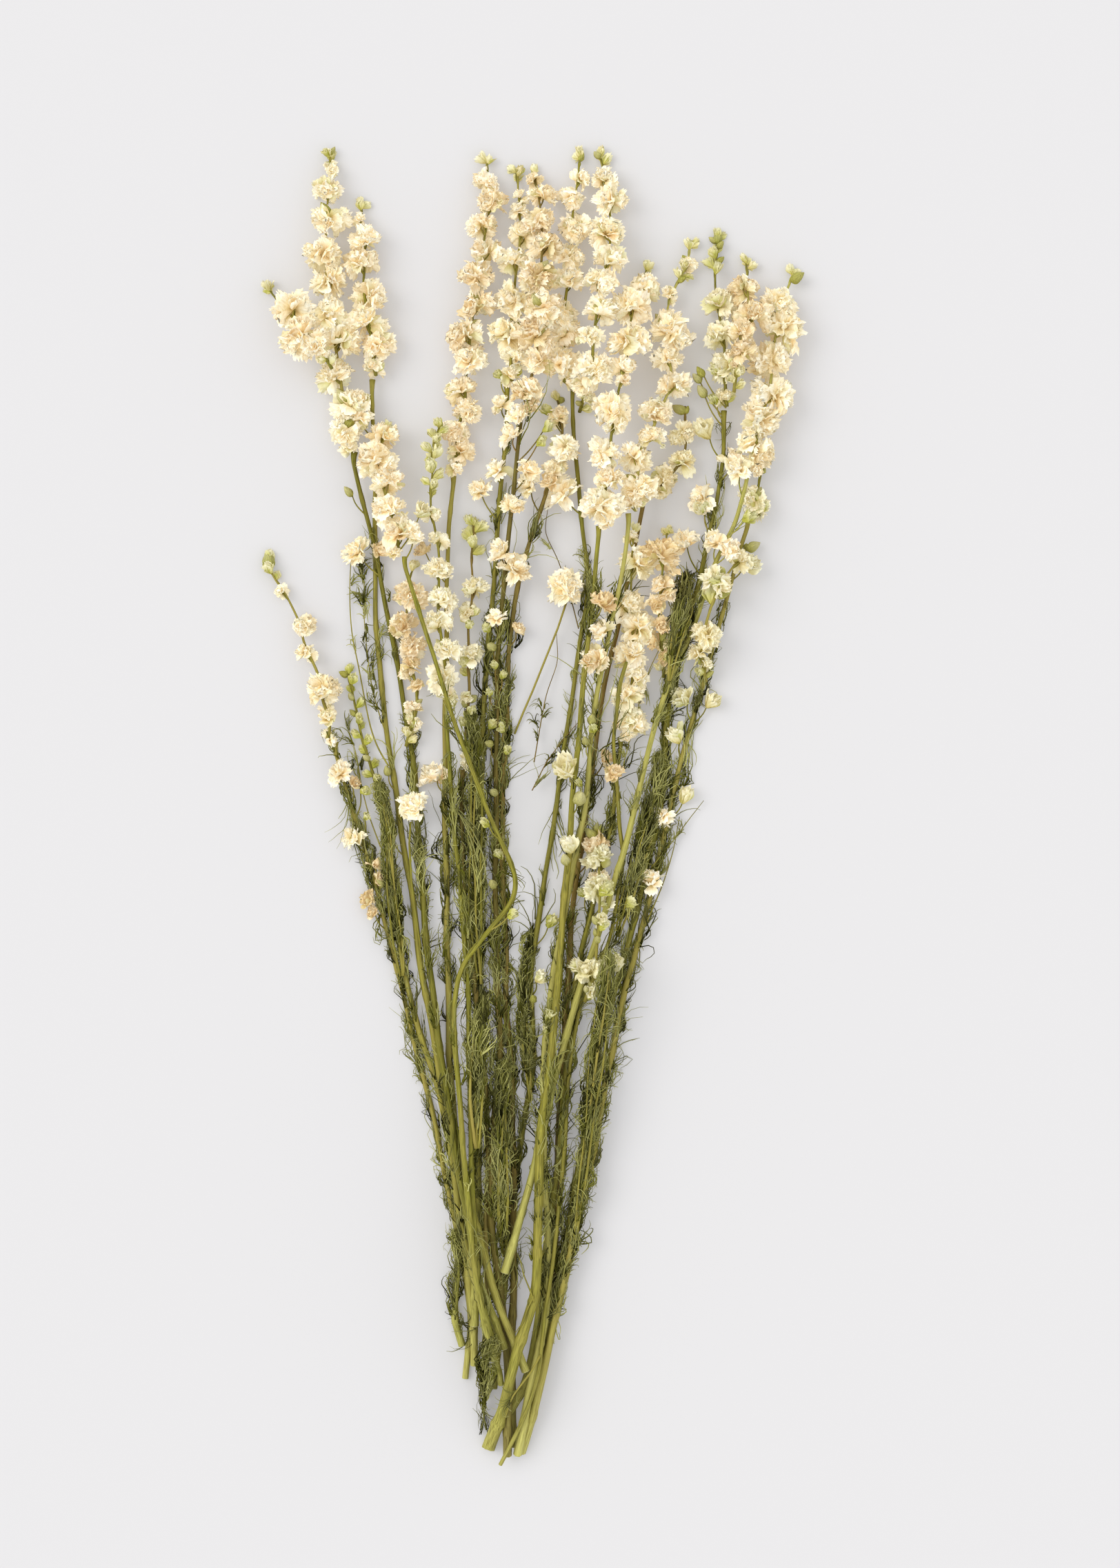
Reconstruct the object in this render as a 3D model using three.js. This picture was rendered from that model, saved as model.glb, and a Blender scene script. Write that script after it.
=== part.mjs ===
// A bunch of dried larkspur, cut and laid flat: stalks fanned from a narrow foot to a wide head.
// Millimetres, +Z up. The bunch lies on the XY plane with its cut feet towards -Y and its tips
// towards +Y. The origin is the centre of the bottom of the bunch's own box.
//
// Every stalk, side sprig and leaf tuft is one route drawn in plan, with a width at each point.
// They are laid down one after another, so each one rests on the ground or on those below it.
import * as THREE from 'three';

// Driving dimensions
const bunchLength = 650; // lowest foot to highest tip, along Y
const bunchWidth = 268; // outermost tip on the left to outermost on the right, along X
const floretWidth = 17; // one open double flower, side to side
const leafTuftWidth = 9; // dried thread leaves gathered round a stalk
const thickFoot = 5; // the stoutest stalk, across its cut
const commonFoot = 3.8;
const slenderFoot = 2.8;
const wireFoot = 1.8;
const neckWidth = 1.8; // any stalk where its flowers begin
const clearance = 0.8; // air between pieces that touch in the real bunch
const sagRadius = 1500; // curve that a free length of stalk takes under its own weight

// Fineness of the solids
const grain = 1; // step along a route while it is laid down
const facet = 0.35; // how far a solid may stray from its true shape
const stalkSides = 6;
const flowerSides = 8;
const cell = 1.5 * floretWidth; // side of a square in the plan index, over the reach of two flowers

// The routes below are drawn on a plan of this size and stretched to the driving dimensions.
const planLength = 650;
const planWidth = 268;

const colours = {
  olive: 0x8d8a3e,
  bright: 0xa9a24c,
  brown: 0x7d6f38,
  cream: 0xf0e0b4,
  tan: 0xdcbb8a,
  bud: 0xc5c46a,
  leaf: 0x55602f,
};

// A stalk: its bare stem from the cut foot up, then its flowers as [x, y, width in florets].
// A sprig grows from another stalk, and a tuft is dried foliage: both are [x, y, width] throughout.
const stalk = (name, colour, foot, stem, head = []) => ({ kind: 'stalk', name, colour, foot, stem, head });
const sprig = (name, colour, line) => ({ kind: 'sprig', name, colour, line });
const tuft = (name, line) => ({ kind: 'tuft', name, colour: colours.leaf, line });

// In the order in which they are laid down, from the ones on the ground to the ones on top.
const bunch = [
  stalk('outer_left', colours.olive, slenderFoot, [
    [-32.5, -284], [-30, -252], [-34, -222], [-40, -196], [-46, -165], [-54.5, -130], [-62, -97],
    [-71, -62], [-79, -34], [-86, -8], [-93, 14], [-97, 29],
  ], [
    [-98.5, 34, 0.5], [-99, 40, 0.75], [-101, 48, 0.45], [-103.5, 57, 0.95], [-106, 68, 0.55],
    [-110, 76, 0.55], [-113, 85, 0.85], [-116, 95, 0.55], [-120, 103, 0.65], [-126, 110, 0.3],
    [-129, 117, 0.45], [-132.5, 124, 0.15],
  ]),
  stalk('long_spike', colours.olive, commonFoot, [
    [-28, -277], [-28.3, -255], [-31.5, -222], [-36, -190], [-38.5, -155], [-40.5, -110], [-41.7, -66],
    [-42.3, 0], [-42.5, 50], [-41.8, 95], [-40.5, 140], [-37.5, 162],
  ], [
    [-36.5, 168, 0.5], [-37, 177, 0.8], [-36.5, 187, 0.8], [-32.5, 196, 0.75], [-32.5, 208, 0.9],
    [-31, 220, 0.9], [-30, 233, 0.9], [-28, 247, 0.95], [-25, 263, 0.95], [-23, 280, 0.9],
    [-20, 297, 0.85], [-21, 310, 0.7], [-22, 322, 0.25],
  ]),
  stalk('thick_centre', colours.olive, commonFoot, [
    [-27.5, -257], [-27.3, -238], [-26, -215], [-25.8, -190], [-26.6, -150], [-27, -85], [-26.5, -50],
    [-25, -5], [-23.8, 28], [-22.5, 70], [-18.5, 102], [-17, 130], [-14.5, 160], [-12.5, 185], [-11.5, 205],
  ], [
    [-10.5, 213, 0.5], [-9.5, 224, 0.95], [-10, 236, 1.1], [-8.5, 249, 1.05], [-7.5, 262, 0.95],
    [-5.5, 275, 0.85], [-5, 288, 0.75], [-6, 301, 0.5], [-7, 317, 0.15],
  ]),
  stalk('double_left', colours.olive, slenderFoot, [
    [-18.2, -289], [-16, -266], [-13.2, -245], [-10.7, -210], [-7.3, -180], [-3, -153], [1, -133],
    [0.7, -100], [0.7, -78], [5, -47], [10.3, -14], [15.4, 19], [20, 51], [24.3, 80.5], [27.8, 104],
    [27.6, 121], [25, 145], [22.5, 172], [21, 190], [20.5, 205],
  ], [
    [19, 211, 0.5], [17.5, 220, 1], [15.5, 232, 0.85], [16.5, 246, 0.95], [19, 262, 0.9],
    [20, 276, 0.9], [20.5, 291, 0.9], [23, 307, 0.75], [25, 324, 0.2],
  ]),
  stalk('green_right', colours.brown, commonFoot, [
    [-3, -309], [-0.5, -296], [4, -277], [8.5, -256], [12, -230], [13, -200], [14, -165], [16.5, -120],
    [18.5, -85], [21, -50], [25, -18], [29, 8], [33.5, 42], [40, 75], [46, 100], [51, 128], [55.5, 150],
  ], [
    [58, 156, 0.4], [63, 161, 0.75], [70, 164, 0.7], [75.5, 169, 0.85], [77, 180, 0.45],
    [76.5, 188, 0.85], [76.5, 197, 0.3],
  ]),
  stalk('bud_right', colours.olive, commonFoot, [
    [3, -286], [8, -265], [12.5, -243], [18, -214], [23, -187], [28.5, -155], [32, -128], [37.5, -103],
    [46, -78], [52, -55], [58, -30], [63, -8], [66, 15], [67.5, 42], [71, 68], [78, 92], [83.5, 112],
    [87, 130], [92, 150], [95, 172], [95.8, 192],
  ], [
    [96, 199, 0.4], [96.5, 207, 0.8], [95.5, 217, 1.05], [96, 228, 0.9], [93.5, 240, 1],
    [91.5, 251, 0.8], [91, 262, 0.45], [92, 273, 0.4], [93, 284, 0.12],
  ]),
  stalk('outer_right', colours.olive, commonFoot, [
    [-4.5, -320], [0.5, -303], [5, -282], [10.4, -261], [15.7, -238], [21, -215], [26.6, -191], [32, -166],
    [37, -137], [43, -108], [52.3, -71], [59.7, -42], [65.6, -14], [72.2, 13], [79.5, 40], [86, 62],
    [92.7, 89], [98.6, 110], [103.8, 128], [108, 140],
  ], [
    [110, 145, 0.5], [111.5, 151, 0.95], [113, 158, 0.45], [114, 166, 0.2], [117, 174, 0.1],
  ]),
  stalk('stub', colours.bright, commonFoot, [
    [-33.5, -267], [-37.5, -254], [-37, -240], [-36, -225], [-38, -211],
  ]),
  stalk('bud_left', colours.olive, commonFoot, [
    [-19.5, -262], [-25.5, -241], [-31, -220], [-36.5, -192], [-39.5, -170], [-45, -143], [-54, -117],
    [-61, -88], [-67, -60], [-70, -30], [-73, -7],
  ], [
    [-74, -2, 0.3], [-74.5, 4, 0.45], [-77, 12, 0.15], [-81, 26, 0.2], [-84, 35, 0.35], [-86, 45, 0.25],
    [-88, 56, 0.4], [-90, 63, 0.4], [-91, 69, 0.12],
  ]),
  stalk('cream_sprig', colours.brown, slenderFoot, [
    [-23, -292], [-22.3, -262], [-21.5, -235], [-22.5, -205], [-20.7, -170], [-22.5, -135], [-27, -95],
    [-31, -60], [-33.4, -20], [-33.6, 16],
  ], [
    [-33, 21, 0.5], [-32, 29, 0.7], [-32, 41, 0.15], [-31, 51, 0.4], [-30, 58, 0.55], [-31, 68, 0.25],
    [-30.5, 80, 0.85], [-31, 91, 0.25], [-29, 101, 0.65], [-28.5, 114, 0.85], [-30, 125, 0.5],
    [-27.5, 134, 0.6], [-29, 143, 0.15],
  ]),
  stalk('middle', colours.brown, commonFoot, [
    [-9, -318], [-9.5, -285], [-9, -250], [-8.6, -205], [-8.4, -165], [-9.4, -134], [-12.4, -101],
    [-12.6, -70], [-14, -25], [-14, 10], [-12.3, 44], [-10, 85], [-6.6, 108.5], [-1, 128], [4.4, 146.5],
    [8.5, 159],
  ], [
    [10.5, 164, 0.5], [13.5, 172, 0.95], [16, 182, 0.85], [15, 193, 0.65], [12, 203, 0.2],
  ]),
  stalk('low_spike', colours.olive, commonFoot, [
    [-11, -299.5], [-4, -288.5], [0, -274], [4.1, -253], [7.2, -225], [11, -197], [14, -170], [17, -135],
    [21, -100], [25, -72], [30, -52], [35, -30], [39, -12], [42, 8], [43.5, 22], [45.5, 32],
  ], [
    [46.5, 36, 0.5], [48, 43, 0.85], [49.5, 54, 0.85], [50.5, 64, 0.7], [50.5, 75, 0.9], [50.5, 86, 0.95],
    [49, 96, 0.9], [49.5, 106, 0.95], [49.5, 115, 0.9], [50, 123, 1.05], [51, 132, 0.5], [52, 138, 0.15],
  ]),
  stalk('right_middle', colours.bright, commonFoot, [
    [-6.5, -320.5], [-2, -296], [2, -275], [8, -250], [9.5, -230], [8, -200], [6, -165], [6.8, -125],
    [10, -92], [15.5, -60], [21, -28], [26.5, -5], [29, 22], [33, 58], [38.3, 84], [44, 110], [48.5, 140],
  ], [
    [50, 147, 0.4], [52.5, 158, 1.1], [53, 170, 1], [56, 180, 0.6], [61, 188, 1.05], [66, 199, 0.75],
    [69.5, 210, 1], [68.5, 221, 0.8], [66.5, 234, 1.15], [68, 247, 0.6], [71, 256, 0.35], [76, 265, 0.25],
    [78, 271, 0.65], [79, 279, 0.2],
  ]),
  stalk('tan_centre', colours.brown, commonFoot, [
    [-11.5, -321], [-11, -290], [-12, -262], [-15.5, -240], [-18.7, -212], [-19.3, -190], [-17, -150],
    [-15.4, -118], [-16.8, -86], [-17.2, -40], [-17.2, 8], [-17, 50], [-15, 90], [-11, 130], [-8, 165],
    [-4.5, 190],
  ], [
    [-3, 197, 0.5], [-0.5, 207, 1.1], [3, 219, 0.75], [4, 233, 1.1], [5, 247, 1.05], [5, 262, 0.95],
    [6, 278, 0.85], [5, 294, 0.8], [2.5, 307, 0.55], [2, 317, 0.15],
  ]),
  tuft('leaves_centre_lower', [[-13.5, -222, 0.3], [-14.5, -195, 0.8], [-14, -160, 0.9], [-13.5, -130, 0.4]]),
  stalk('wire', colours.olive, wireFoot, [
    [-15, -325], [-4, -303], [3, -282], [6, -262], [9, -240], [12, -213], [15, -188], [17, -160], [19, -135],
    [23, -105], [29, -84], [37.6, -70], [41, -52], [44, -38], [46, -24], [43.8, -10.5], [42.8, 10],
    [41, 30], [42, 48], [44, 63], [47.5, 71],
  ]),
  stalk('tall_left', colours.bright, commonFoot, [
    [-2.5, -278], [-13.5, -251], [-20.2, -230], [-27.4, -204], [-33, -182], [-41, -150], [-47.7, -116],
    [-54, -80], [-59.7, -40], [-65, -8], [-70, 30], [-75, 68], [-77.5, 105], [-77, 140], [-76.5, 165],
    [-78, 190], [-78.3, 208],
  ], [
    [-78, 214, 0.4], [-77, 223, 0.95], [-79, 233, 0.9], [-80.5, 245, 0.95], [-83, 257, 0.95],
    [-81.5, 268, 0.9], [-83.5, 280, 0.85], [-84, 290, 0.5], [-84, 300, 0.15],
  ]),
  stalk('far_left', colours.olive, commonFoot, [
    [-12.9, -266.5], [-20, -247], [-26.2, -230], [-30.2, -204], [-35.3, -180], [-42, -140], [-47, -105],
    [-51, -70], [-54.6, -29], [-57, 5], [-60, 34], [-65.5, 68], [-72, 101], [-77, 125], [-83, 150],
    [-88, 172],
  ], [
    [-89, 178, 0.5], [-90.5, 188, 0.9], [-92, 200, 1], [-94, 212, 1.1], [-96, 225, 1.1], [-98.5, 239, 1.05],
    [-100.5, 253, 1], [-101, 269, 1], [-101, 287, 1.1], [-100, 302, 0.8], [-99.5, 314, 0.55],
    [-99, 325, 0.15],
  ]),
  stalk('bud_spike', colours.olive, slenderFoot, [
    [-14.5, -285], [-19, -262], [-25, -235], [-28.5, -200], [-29.5, -150], [-30.5, -100], [-33.5, -55],
    [-37, -18], [-39.5, 15], [-41.5, 42],
  ], [
    [-41.5, 50, 0.2], [-41, 61, 0.95], [-42.5, 72, 0.6], [-43.5, 82, 0.9], [-45.5, 92, 0.8],
    [-45.5, 102, 0.7], [-45, 112, 0.9], [-45, 124, 0.75], [-47, 136, 0.6], [-49.5, 148, 0.5],
    [-49, 158, 0.3], [-48, 166, 0.55], [-48.5, 176, 0.4], [-46, 184, 0.45], [-42.5, 189, 0.15],
  ]),
  stalk('bright_right', colours.bright, commonFoot, [
    [-12.9, -229.7], [-6.2, -207.5], [2.4, -176], [6.8, -158], [11.9, -132.6], [18, -111], [27, -81],
    [34, -62], [41, -40], [47.6, -15.6], [54, 10], [59.8, 36], [67, 57], [78, 82], [85.3, 102.6],
    [92, 122.5], [99, 136], [104, 152], [107.5, 164],
  ], [
    [108.5, 170, 0.7], [110, 181, 1], [114, 191, 1.15], [117, 202, 1.05], [119, 213, 1.15],
    [119.5, 225, 1.15], [122, 237, 1.05], [124.5, 248, 1], [128, 257, 0.6], [131.5, 265, 0.15],
  ]),
  stalk('thick_foot', colours.bright, thickFoot, [
    [-20.8, -317.4], [-14, -298], [-7.8, -273], [-2, -253], [2, -238], [3.5, -218], [3.8, -195], [5.3, -160],
    [9, -130], [13, -92], [15.4, -62], [18, -36], [19.5, -10], [22, 20], [25, 51], [29, 85], [32, 112],
    [33.5, 134],
  ], [
    [34.5, 140, 0.5], [36.5, 149, 1.1], [37, 161, 0.8], [39.5, 172, 0.9], [39.5, 184, 0.3],
    [42.5, 196, 1.25], [44.5, 208, 0.35], [47, 220, 0.9], [48.5, 234, 1.1], [51.5, 247, 0.95],
    [55.5, 257, 0.8], [58.5, 268, 0.25],
  ]),
  tuft('leaves_left_column', [
    [-63.5, -84, 0.3], [-66, -62, 0.8], [-69, -35, 0.9], [-71, -8, 0.4], [-74, 8, 0.15],
  ]),
  tuft('leaves_centre_upper', [
    [-25, -88, 0.4], [-26.5, -55, 1], [-27, -15, 0.9], [-27.5, 20, 0.7], [-29, 44, 0.2],
  ]),
  sprig('nodding_left', colours.tan, [
    [-97, 215, 0.1], [-101, 223, 0.5], [-106, 230, 0.95], [-113, 237, 1], [-120.5, 242, 0.95],
    [-127, 249, 0.7], [-131, 257, 0.15],
  ]),
  sprig('double_right', colours.cream, [
    [24, 196, 0.12], [28, 207, 0.4], [30.5, 219, 1], [31, 232, 0.75], [33, 245, 1], [35, 259, 0.85],
    [39, 274, 0.95], [39.5, 289, 0.95], [38, 302, 0.8], [36, 314, 0.6], [33.5, 324, 0.15],
  ]),
  sprig('inner_left', colours.tan, [
    [-62, 30, 0.12], [-59, 40, 0.25], [-56, 49, 0.65], [-56.5, 59, 0.5], [-59, 70, 0.65], [-59, 81, 0.7],
    [-61.5, 93, 0.85], [-61, 105, 0.9], [-59, 114, 0.55], [-57, 120, 0.15],
  ]),
  sprig('right_twin', colours.tan, [
    [100, 204, 0.12], [101, 214, 0.3], [102, 223, 0.75], [105, 233, 0.65], [108, 242, 0.95],
    [106.5, 253, 0.9], [107, 264, 0.3], [107, 271, 0.12],
  ]),
  sprig('brown_right', colours.tan, [
    [66, 64, 0.12], [65, 80, 0.5], [63, 93, 0.6], [63.5, 104, 0.55], [64.5, 115, 1], [66.5, 127, 0.85],
    [68, 136, 0.2],
  ]),
  sprig('pale_right', colours.cream, [
    [87, 62, 0.12], [84, 75, 0.5], [86, 90, 0.8], [92, 107, 0.85], [98, 116, 0.65], [104, 122, 0.7],
    [108, 128, 0.15],
  ]),
  sprig('low_right', colours.bud, [
    [26.5, -96, 0.12], [32, -79, 0.85], [33, -64, 0.25], [34, -48, 0.65], [34, -34, 0.7], [33, -20, 0.65],
    [32, -10, 0.15],
  ]),
  sprig('lone_floret', colours.cream, [
    [-8.5, 36, 0.09], [-2, 50, 0.09], [8, 75, 0.09], [15, 92, 0.12], [17.5, 100, 0.5], [17.5, 108, 1.15],
    [17, 116, 0.7], [16.5, 121, 0.15],
  ]),
  sprig('lone_white', colours.cream, [
    [-54.5, -70, 0.08], [-58.5, -42, 0.08], [-60, -20, 0.1], [-59, -5, 0.6], [-58, 4, 1.1], [-57.5, 12, 0.2],
  ]),
  stalk('looped', colours.bright, slenderFoot, [
    [-18, -272], [-24, -245], [-29.5, -210], [-33, -165], [-36.5, -120], [-37.5, -95], [-34, -78.5],
    [-26, -68], [-15.5, -55.5], [-9, -46.5], [-7.3, -36], [-10.5, -25], [-20, -4], [-31.7, 26], [-43, 58],
    [-54.7, 97.4], [-62.5, 120],
  ], [
    [-64, 126, 0.6], [-65, 136, 1.1], [-69, 147, 0.95], [-73, 157, 0.85], [-73, 168, 1.05], [-74, 179, 0.75],
    [-71, 187, 0.2],
  ]),
  tuft('leaves_right_head', [[68, 62, 0.3], [70, 78, 0.9], [74, 96, 1.1], [77, 112, 0.2]]),
  tuft('leaves_right_column', [[43, -64, 0.3], [49, -42, 1], [55, -20, 1], [61, 4, 0.9], [64, 22, 0.2]]),
  tuft('leaves_right_lower', [
    [22, -214, 0.3], [26, -180, 0.8], [30, -140, 1], [35, -100, 0.9], [39, -76, 0.3],
  ]),
  tuft('leaves_left_lower', [[-26, -168, 0.3], [-26.5, -140, 1], [-25.5, -115, 0.9], [-23, -96, 0.3]]),
  tuft('leaves_inner_right', [[0, -146, 0.2], [-3, -115, 0.7], [-3.5, -90, 0.6], [0, -66, 0.15]]),
  tuft('leaves_foot', [[-23, -303, 0.5], [-22.5, -290, 0.8], [-22, -278, 0.7], [-20.5, -266, 0.2]]),
];

// A route's drawn points with the diameter of the piece at each, in millimetres.
function drawnLine({ kind, foot, stem, head, line }) {
  if (kind === 'tuft') return line.map(([x, y, width]) => [x, y, width * leafTuftWidth]);
  if (kind === 'sprig') return line.map(([x, y, width]) => [x, y, width * floretWidth]);
  const reach = [0];
  for (let i = 1; i < stem.length; i += 1) {
    reach.push(reach[i - 1] + Math.hypot(stem[i][0] - stem[i - 1][0], stem[i][1] - stem[i - 1][1]));
  }
  const taper = (distance) => THREE.MathUtils.lerp(foot, neckWidth, distance / reach.at(-1));
  return [
    ...stem.map(([x, y], i) => [x, y, taper(reach[i])]),
    ...head.map(([x, y, width]) => [x, y, width * floretWidth]),
  ];
}

// Walks a smooth curve through the drawn points in steps of one grain. A stalk's head begins
// halfway from the last point of its stem to the first point of its flowers.
function walk(piece) {
  const line = drawnLine(piece);
  const neck = piece.kind === 'stalk' ? piece.stem.length - 0.5 : 0;
  const places = line.map(([x, y]) => (
    new THREE.Vector3((x * bunchWidth) / planWidth, (y * bunchLength) / planLength, 0)));
  const curve = new THREE.CatmullRomCurve3(places, false, 'centripetal');
  const steps = Math.round(curve.getLength() / grain);
  curve.arcLengthDivisions = steps;
  curve.updateArcLengths();
  const spans = line.length - 1;
  const samples = [];
  for (let i = 0; i <= steps; i += 1) {
    const along = curve.getUtoTmapping(i / steps);
    const span = Math.min(Math.floor(along * spans), spans - 1);
    const within = THREE.MathUtils.smoothstep(along * spans - span, 0, 1);
    const width = THREE.MathUtils.lerp(line[span][2], line[span + 1][2], within);
    const place = curve.getPoint(along);
    samples.push({ x: place.x, y: place.y, z: 0, radius: width / 2, inHead: along * spans >= neck });
  }
  return samples;
}

// Everything laid down so far, indexed by square of the plan.
const laid = new Map();
const square = (x, y) => `${Math.floor(x / cell)},${Math.floor(y / cell)}`;

function layDown(samples) {
  for (const sample of samples) {
    const key = square(sample.x, sample.y);
    if (!laid.has(key)) laid.set(key, []);
    laid.get(key).push(sample);
  }
}

// The lowest height at which this stretch of a piece clears the ground and all that is laid.
function lowestHeight({ x, y, radius }) {
  let height = radius;
  for (const dx of [-cell, 0, cell]) {
    for (const dy of [-cell, 0, cell]) {
      for (const below of laid.get(square(x + dx, y + dy)) ?? []) {
        const reach = radius + below.radius + clearance;
        const apart = (x - below.x) ** 2 + (y - below.y) ** 2;
        if (apart < reach ** 2) height = Math.max(height, below.z + Math.sqrt(reach ** 2 - apart));
      }
    }
  }
  return height;
}

// Rests a stiff piece on what is under it: straight between its supports but for its own sag.
function settle(samples) {
  const sag = (i) => (i * grain) ** 2 / (2 * sagRadius);
  const held = samples.map((sample, i) => lowestHeight(sample) - sag(i));
  const slope = (a, b) => (held[b] - held[a]) / (b - a);
  const supports = [0];
  for (let i = 1; i < held.length; i += 1) {
    while (supports.length > 1 && slope(supports.at(-2), supports.at(-1)) <= slope(supports.at(-1), i)) {
      supports.pop();
    }
    supports.push(i);
  }
  for (let k = 1; k < supports.length; k += 1) {
    const [from, to] = [supports[k - 1], supports[k]];
    for (let i = from; i <= to; i += 1) {
      samples[i].z = held[from] + slope(from, to) * (i - from) + sag(i);
    }
  }
}

const up = new THREE.Vector3(0, 0, 1);

// Keeps only the samples that the shape needs, by splitting where a straight run strays most.
function needed(samples, from = 0, to = samples.length - 1) {
  const [a, b] = [samples[from], samples[to]];
  let worst = { at: 0, miss: facet };
  for (let i = from + 1; i < to; i += 1) {
    const part = (i - from) / (to - from);
    const miss = Math.hypot(...['x', 'y', 'z', 'radius'].map((key) => (
      samples[i][key] - THREE.MathUtils.lerp(a[key], b[key], part))));
    if (miss > worst.miss) worst = { at: i, miss };
  }
  if (worst.at === 0) return [from, to];
  return [...needed(samples, from, worst.at), ...needed(samples, worst.at, to).slice(1)];
}

// One closed solid along the samples: a turned profile bent on to its route.
function bentSolid(samples, sides) {
  const rings = needed(samples);
  const profile = rings.map((i) => new THREE.Vector2(samples[i].radius, i * grain));
  const ends = [new THREE.Vector2(0, profile[0].y), new THREE.Vector2(0, profile.at(-1).y)];
  const geometry = new THREE.LatheGeometry([ends[0], ...profile, ends[1]], sides);
  const stations = [rings[0], ...rings, rings.at(-1)];
  const last = samples.length - 1;
  const at = (i) => new THREE.Vector3(samples[i].x, samples[i].y, samples[i].z);
  const frames = stations.map((i) => {
    const look = Math.max(2, Math.round((2 * samples[i].radius) / grain));
    const ahead = at(Math.min(last, i + look)).sub(at(Math.max(0, i - look))).normalize();
    const side = ahead.clone().cross(up).normalize();
    return { place: at(i), side, lift: side.clone().cross(ahead) };
  });
  const position = geometry.getAttribute('position');
  for (let v = 0; v < position.count; v += 1) {
    const { place, side, lift } = frames[v % stations.length];
    const point = place.clone()
      .addScaledVector(side, position.getX(v))
      .addScaledVector(lift, position.getZ(v));
    position.setXYZ(v, point.x, point.y, point.z);
  }
  return geometry;
}

function mesh(name, geometry, colour) {
  const solid = new THREE.Mesh(
    geometry,
    new THREE.MeshStandardMaterial({ color: colour, roughness: 0.85, metalness: 0 }),
  );
  solid.name = name;
  return solid;
}

// Lays one piece down and makes its solids: a stalk is its stem and, past a small gap, its flowers.
function meshesOf(piece) {
  const samples = walk(piece);
  settle(samples);
  layDown(samples);
  if (piece.kind === 'tuft') return [mesh(piece.name, bentSolid(samples, flowerSides), piece.colour)];
  if (piece.kind === 'sprig') {
    return [mesh(`sprig_${piece.name}`, bentSolid(samples, flowerSides), piece.colour)];
  }
  const gap = Math.ceil(clearance / grain);
  const bare = samples.filter((sample) => !sample.inHead);
  const meshes = [mesh(`stem_${piece.name}`, bentSolid(bare, stalkSides), piece.colour)];
  if (piece.head.length) {
    const flowers = samples.slice(bare.length + gap);
    meshes.push(mesh(`flowers_${piece.name}`, bentSolid(flowers, flowerSides), colours.cream));
  }
  return meshes;
}

const larkspur = new THREE.Group();
for (const piece of bunch) larkspur.add(...meshesOf(piece));

// The origin goes to the centre of the bottom of the box.
const box = new THREE.Box3().setFromObject(larkspur, true);
larkspur.position.set(-(box.min.x + box.max.x) / 2, -(box.min.y + box.max.y) / 2, -box.min.z);

export default larkspur;
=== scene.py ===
import math
import bpy
import numpy as np
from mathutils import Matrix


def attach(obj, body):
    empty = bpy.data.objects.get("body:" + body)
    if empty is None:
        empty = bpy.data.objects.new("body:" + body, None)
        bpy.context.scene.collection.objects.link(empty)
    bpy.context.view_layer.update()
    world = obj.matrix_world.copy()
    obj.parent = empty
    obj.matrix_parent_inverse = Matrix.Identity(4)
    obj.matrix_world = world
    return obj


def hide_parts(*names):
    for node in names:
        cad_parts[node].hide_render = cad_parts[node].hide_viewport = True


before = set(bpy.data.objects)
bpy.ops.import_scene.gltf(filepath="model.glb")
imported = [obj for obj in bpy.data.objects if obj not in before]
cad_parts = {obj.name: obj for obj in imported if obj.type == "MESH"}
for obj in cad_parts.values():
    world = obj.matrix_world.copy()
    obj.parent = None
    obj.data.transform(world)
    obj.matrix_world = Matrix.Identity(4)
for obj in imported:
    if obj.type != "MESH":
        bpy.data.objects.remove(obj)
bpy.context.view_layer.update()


# ---- Cut stalks ----
# Twenty one hollow, ribbed larkspur stalks, dried olive to straw, with slightly swollen joints where
# leaves grew. They were cut across at the foot and thin out towards their flowers; nothing ties them.

mm = 0.001
chance = np.random.default_rng(2718)
stalk_sides = 12
rib_count = 6
rib_depth = 0.08
joint_swelling = 0.22
joint_length = 2.5 * mm
joint_spacing = 46 * mm
first_joint = 18 * mm
hollow_share = 0.5
hollow_depth = 6 * mm
rim_depth = 0.4 * mm
stalk_wander = 0.5 * mm
stalk_step = 2.5 * mm  # between the rings of a stalk's mesh
slice_step = 2.5 * mm  # between the slices that find a stalk's middle line
slice_margin = 0.2 * mm
foot_slices = 3
inner_rings = 3  # of the hollow at the foot
stalk_grain = 0.05  # how far the streaks are drawn out along a stalk, less being longer
stalk_apart = 3.7  # between one stalk's streaks and the next one's
stalk_fineness = 2.4
stalk_patches = 55
stalk_roughness = (0.42, 0.72)
stalk_streak_height = 0.12 * mm
stalk_sheen = 0.16
streak_strength = 0.8
cell_gap = 0.06  # left round each petal or stalk in a piece's flat layout

stalk_shades = {  # dark furrow, light rib, dry patch; the furrow and rib colours are partly the stalk's own streaks, partly painted shade in the furrows and painted highlight on the ribs
    "stalk_olive": ((0.070, 0.067, 0.004), (0.345, 0.328, 0.036), (0.325, 0.262, 0.060)),
    "stalk_bright": ((0.150, 0.148, 0.014), (0.485, 0.470, 0.105), (0.440, 0.385, 0.110)),
    "stalk_brown": ((0.058, 0.046, 0.005), (0.285, 0.232, 0.050), (0.215, 0.132, 0.032)),
}
bright_stalks = ("stub", "bright_right", "right_middle")
brown_stalks = ("green_right", "cream_sprig", "middle", "tan_centre")
pith_shade = (0.52, 0.50, 0.26)
foot_shade = (0.60, 0.585, 0.170)
foot_fade = 38 * mm  # how soon the pale, bare foot turns olive up the stalk


def unit(vectors):
    """The same directions, each one long."""
    length = np.linalg.norm(vectors, axis=-1, keepdims=True)
    return vectors / np.maximum(length, 1e-12)


def eased(values, times):
    """Values with their corners rounded off, the two ends kept."""
    values = values.copy()
    for _ in range(times):
        values[1:-1] = (values[:-2] + 2 * values[1:-1] + values[2:]) / 4
    return values


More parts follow.
